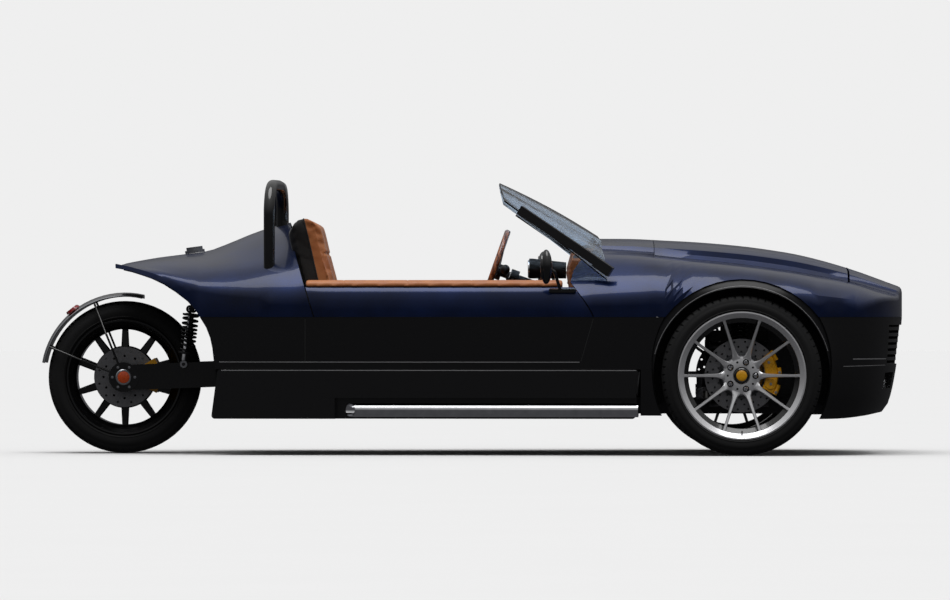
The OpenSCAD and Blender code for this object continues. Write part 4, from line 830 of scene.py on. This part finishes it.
# ---------- Floor, lights and camera ----------
# ---------- Small parts ----------
for side, word in ((1, "left"), (-1, "right")):
    shape = Shape()
    centre = (AXLE_X, side * 459 * MM, JOINTS["left_wheel_spin"]["pos_m"][2])
    rings = []
    for i in range(41):
        a = math.radians(mix(-20, 200, i / 40))
        rings.append([Vector((centre[0] + r * MM * math.cos(a), centre[1] + y * MM, centre[2] + r * MM * math.sin(a)))
                      for r, y in ((303, -1.5), (376, -1.5), (376, 1.5), (303, 1.5))])
    shape.loft(rings)
    build(f"{word}_inner_arch_wall", shape, "chassis", [ABS])
    # Painted highlight: a silver line round the arch's inner flange, where the lip catches the light
    liner = tree_of("arch_liners")
    edge = []
    for i in range(61):
        a = math.radians(mix(16, 166, i / 60))
        x, z = centre[0] + 366 * MM * math.cos(a), centre[2] + 366 * MM * math.sin(a)
        hit = liner.ray_cast(Vector((x, side * 2, z)), Vector((0, -side, 0)))[0]
        if hit and abs(hit.y) > 0.7:
            edge.append(hit)
    shape = Shape()
    shape.tube(edge, 1.6 * MM, 8)
    build(f"{word}_arch_edge_painted_highlight", shape, "chassis", [STRIPE_AND_HIGHLIGHT])
    # Orange cap in a silver ring at the end of the rear axle
    shape = Shape()
    shape.lathe([(side * y * MM, r * MM) for y, r in ((202, 25), (202, 33), (208, 33), (210.5, 30), (210.5, 25))], 48)
    shape.knob([(side * y * MM, r * MM) for y, r in ((203, 0), (203, 25.5), (212, 24.5), (214.5, 12), (215, 0))], 48, 1)
    for i in range(6):
        a = i * TAU / 6
        spot = Matrix.Translation((47 * MM * math.cos(a), 0, 47 * MM * math.sin(a)))
        shape.knob([(side * y * MM, r * MM) for y, r in ((203, 0), (203, 6), (207.5, 6), (208, 0))], 6, 0, spot)
    build(f"{word}_axle_cap", shape, "chassis", [ANODISED, AMBER], REAR)
    # Bright edge of the fender over the rear wheel
    shape = Shape()
    shape.tube([(REAR[0] + 337 * MM * math.cos(a), side * 148 * MM, REAR[2] + 337 * MM * math.sin(a))
                for a in (math.radians(mix(77, 170, i / 40)) for i in range(41))], 2.8 * MM, 8)
    build(f"{word}_fender_edge_trim", shape, "chassis", [ANODISED])
    # Mirror glass in its bezel, facing back
    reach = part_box("mirrors")[1][1] - 44.5 * MM
    shape = Shape()
    face = (Matrix.Translation((st(303), side * reach, 773 * MM)) @ Matrix.Rotation(math.radians(90), 4, "Z")
            @ Matrix.Diagonal((44 * MM, MM, 71 * MM, 1)))
    shape.knob([(12, 0), (12, 0.64), (20.5, 0.64), (20.6, 0)], 48, 0, face)
    shape.lathe([(10, 0.62), (22.2, 0.63), (22.6, 0.67), (21, 0.72), (10, 0.74)], 48, 1, face)
    build(f"{word}_mirror_glass", shape, "chassis", [MIRROR, ENAMEL])


def wheel_and_gauges():
    """The steering wheel with its wooden grip and three flat spokes, and the dial in the pod ahead of it."""
    turn = JOINTS["steering_wheel_turn"]["pos_m"]
    place = Matrix.Translation(turn) @ Matrix.Rotation(math.radians(109.5), 4, "Y")
    about = place @ Matrix.Rotation(math.radians(90), 4, "X")
    shape = Shape()
    shape.lathe([(12 * MM * math.cos(TAU * i / 20), (168 + 11.8 * math.sin(TAU * i / 20)) * MM) for i in range(20)], 120,
                0, about)
    shape.lathe([(y * MM, r * MM) for y, r in ((9, 156), (12.4, 162), (12.9, 168), (12.4, 174), (9, 179), (11, 168))], 120,
                1, about)
    for a in (90, 180, 270):
        rings = []
        for i in range(9):
            r = mix(26, 164, i / 8)
            drop, w, t = mix(17, 3, i / 8), mix(15, 10, i / 8), mix(3.2, 2.4, i / 8)
            rings.append([Vector((r * MM, y * MM, (drop + z) * MM))
                          for y, z in ((-w, -t * 0.4), (-w * 0.8, -t), (w * 0.8, -t), (w, -t * 0.4), (w, t), (-w, t))])
        shape.loft(rings, 1, place @ Matrix.Rotation(math.radians(a), 4, "Z"))
        for r in (70, 95, 120):
            hole = place @ Matrix.Rotation(math.radians(a), 4, "Z") @ Matrix.Translation((r * MM, 0, mix(17, 3, r / 164) * MM - 3 * MM))
            shape.lathe([(y * MM, q * MM) for y, q in ((-0.9, 5), (-0.9, 6.6), (0.4, 6.6), (0.4, 5))], 20, 2,
                        hole @ Matrix.Rotation(math.radians(90), 4, "X"))
    shape.knob([(y * MM, r * MM) for y, r in ((-5, 0), (-5, 18), (-2, 26), (8, 33.5), (32, 34), (34, 31), (34, 0))], 48, 2,
               about)
    shape.knob([(y * MM, r * MM) for y, r in ((33, 0), (33, 16), (69.5, 16), (69.5, 0))], 32, 2, about)
    piece = build("wood_grip_steering_wheel", shape, "steering_wheel", [WOOD, ANODISED, ABS])
    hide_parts("steering_wheel")
    shape = Shape()
    face = Matrix.Translation((st(240), 0.3, 768 * MM)) @ Matrix.Rotation(math.radians(90), 4, "Z")
    shape.lathe([(y * MM, r * MM) for y, r in ((-1, 32), (4.5, 32), (5.5, 34), (4, 37), (-1, 38))], 64, 0, face)
    shape.knob([(y * MM, r * MM) for y, r in ((-1, 0), (-1, 32.4), (1, 32.4), (1.1, 0))], 64, 1, face)
    for i in range(25):
        a = math.radians(mix(-35, 215, i / 24))
        spot = face @ Matrix.Rotation(-a, 4, "Y")
        shape.block((24 * MM if i % 4 == 0 else 27 * MM, 0.9 * MM, -0.5 * MM), (30 * MM, 1.5 * MM, 0.5 * MM), 0.1 * MM, 2, spot)
    shape.block((-5 * MM, 2 * MM, -0.8 * MM), (24 * MM, 2.8 * MM, 0.8 * MM), 0.2 * MM, 3,
                face @ Matrix.Rotation(math.radians(-150), 4, "Y"))
    build("speed_dial", shape, "chassis", [CHROME, DIAL, ABS, AMBER])


wheel_and_gauges()

SUN_POWER = 1.92


def studio():
    """A pale floor without an edge, soft lights and a camera on the car's right side."""
    material, tree, surface = blank("pale_floor_paint", Roughness=0.9)
    place = add(tree, "ShaderNodeTexCoord")
    wash = add(tree, "ShaderNodeTexNoise", {"Scale": 1.5}, {"Vector": place.outputs["Object"]})
    ramp = add(tree, "ShaderNodeValToRGB", links={"Fac": wash.outputs[0]})
    ramp.color_ramp.elements[0].color = linear("#e6e6e6")
    ramp.color_ramp.elements[1].color = linear("#e8e8e8")
    tree.links.new(ramp.outputs[0], surface.inputs["Base Color"])
    bpy.ops.mesh.primitive_plane_add(size=160)
    floor = bpy.context.object
    floor.name = "floor"
    floor.data.materials.append(material)
    # The floor lights nothing, so that the dark lower body stays dark
    floor.visible_glossy = False
    floor.visible_diffuse = False
    world = bpy.data.worlds.new("studio_air")
    world.use_nodes = True
    air = world.node_tree
    air.nodes.clear()
    place = add(air, "ShaderNodeTexCoord")
    split = add(air, "ShaderNodeSeparateXYZ", links={"Vector": place.outputs["Generated"]})
    dome = add(air, "ShaderNodeValToRGB", links={"Fac": split.outputs["Z"]})
    dome.color_ramp.elements[0].color = linear("#464648")
    dome.color_ramp.elements[1].color = linear("#cfcfcf")
    dome.color_ramp.elements[0].position = 0.02
    dome.color_ramp.elements[1].position = 0.75
    ray = add(air, "ShaderNodeLightPath")
    # The pale backdrop shows by itself and through the glass, and the soft dome lights everything
    direct = add(air, "ShaderNodeMath", {"operation": "MAXIMUM"})
    air.links.new(ray.outputs["Is Camera Ray"], direct.inputs[0])
    air.links.new(ray.outputs["Is Transmission Ray"], direct.inputs[1])
    seen = add(air, "ShaderNodeMix", {"data_type": "RGBA"}, {"Factor": direct.outputs[0]})
    air.links.new(dome.outputs[0], seen.inputs[6])
    seen.inputs[7].default_value = linear("#efefef")
    back = add(air, "ShaderNodeBackground", {"Strength": 1.0})
    air.links.new(seen.outputs[2], back.inputs["Color"])
    add(air, "ShaderNodeOutputWorld", links={"Surface": back.outputs[0]})
    bpy.context.scene.world = world
    lamp = bpy.data.lights.new("overhead_softbox", "SUN")
    lamp.energy, lamp.angle = SUN_POWER, math.radians(50)
    holder = bpy.data.objects.new("overhead_softbox", lamp)
    bpy.context.scene.collection.objects.link(holder)
    holder.location = (0, -1, 4)
    holder.rotation_euler = (math.radians(12), 0, 0)
    bpy.context.scene.view_settings.view_transform = "Standard"
    camera = bpy.data.objects.new("camera", bpy.data.cameras.new("camera"))
    bpy.context.scene.collection.objects.link(camera)
    camera.data.sensor_width = 36
    camera.data.lens = 363.2
    camera.location = (0.015, -40, 0.6376)
    camera.rotation_euler = (math.radians(90), 0, 0)
    camera.data.clip_end = 400
    bpy.context.scene.camera = camera


studio()
bpy.context.view_layer.update()
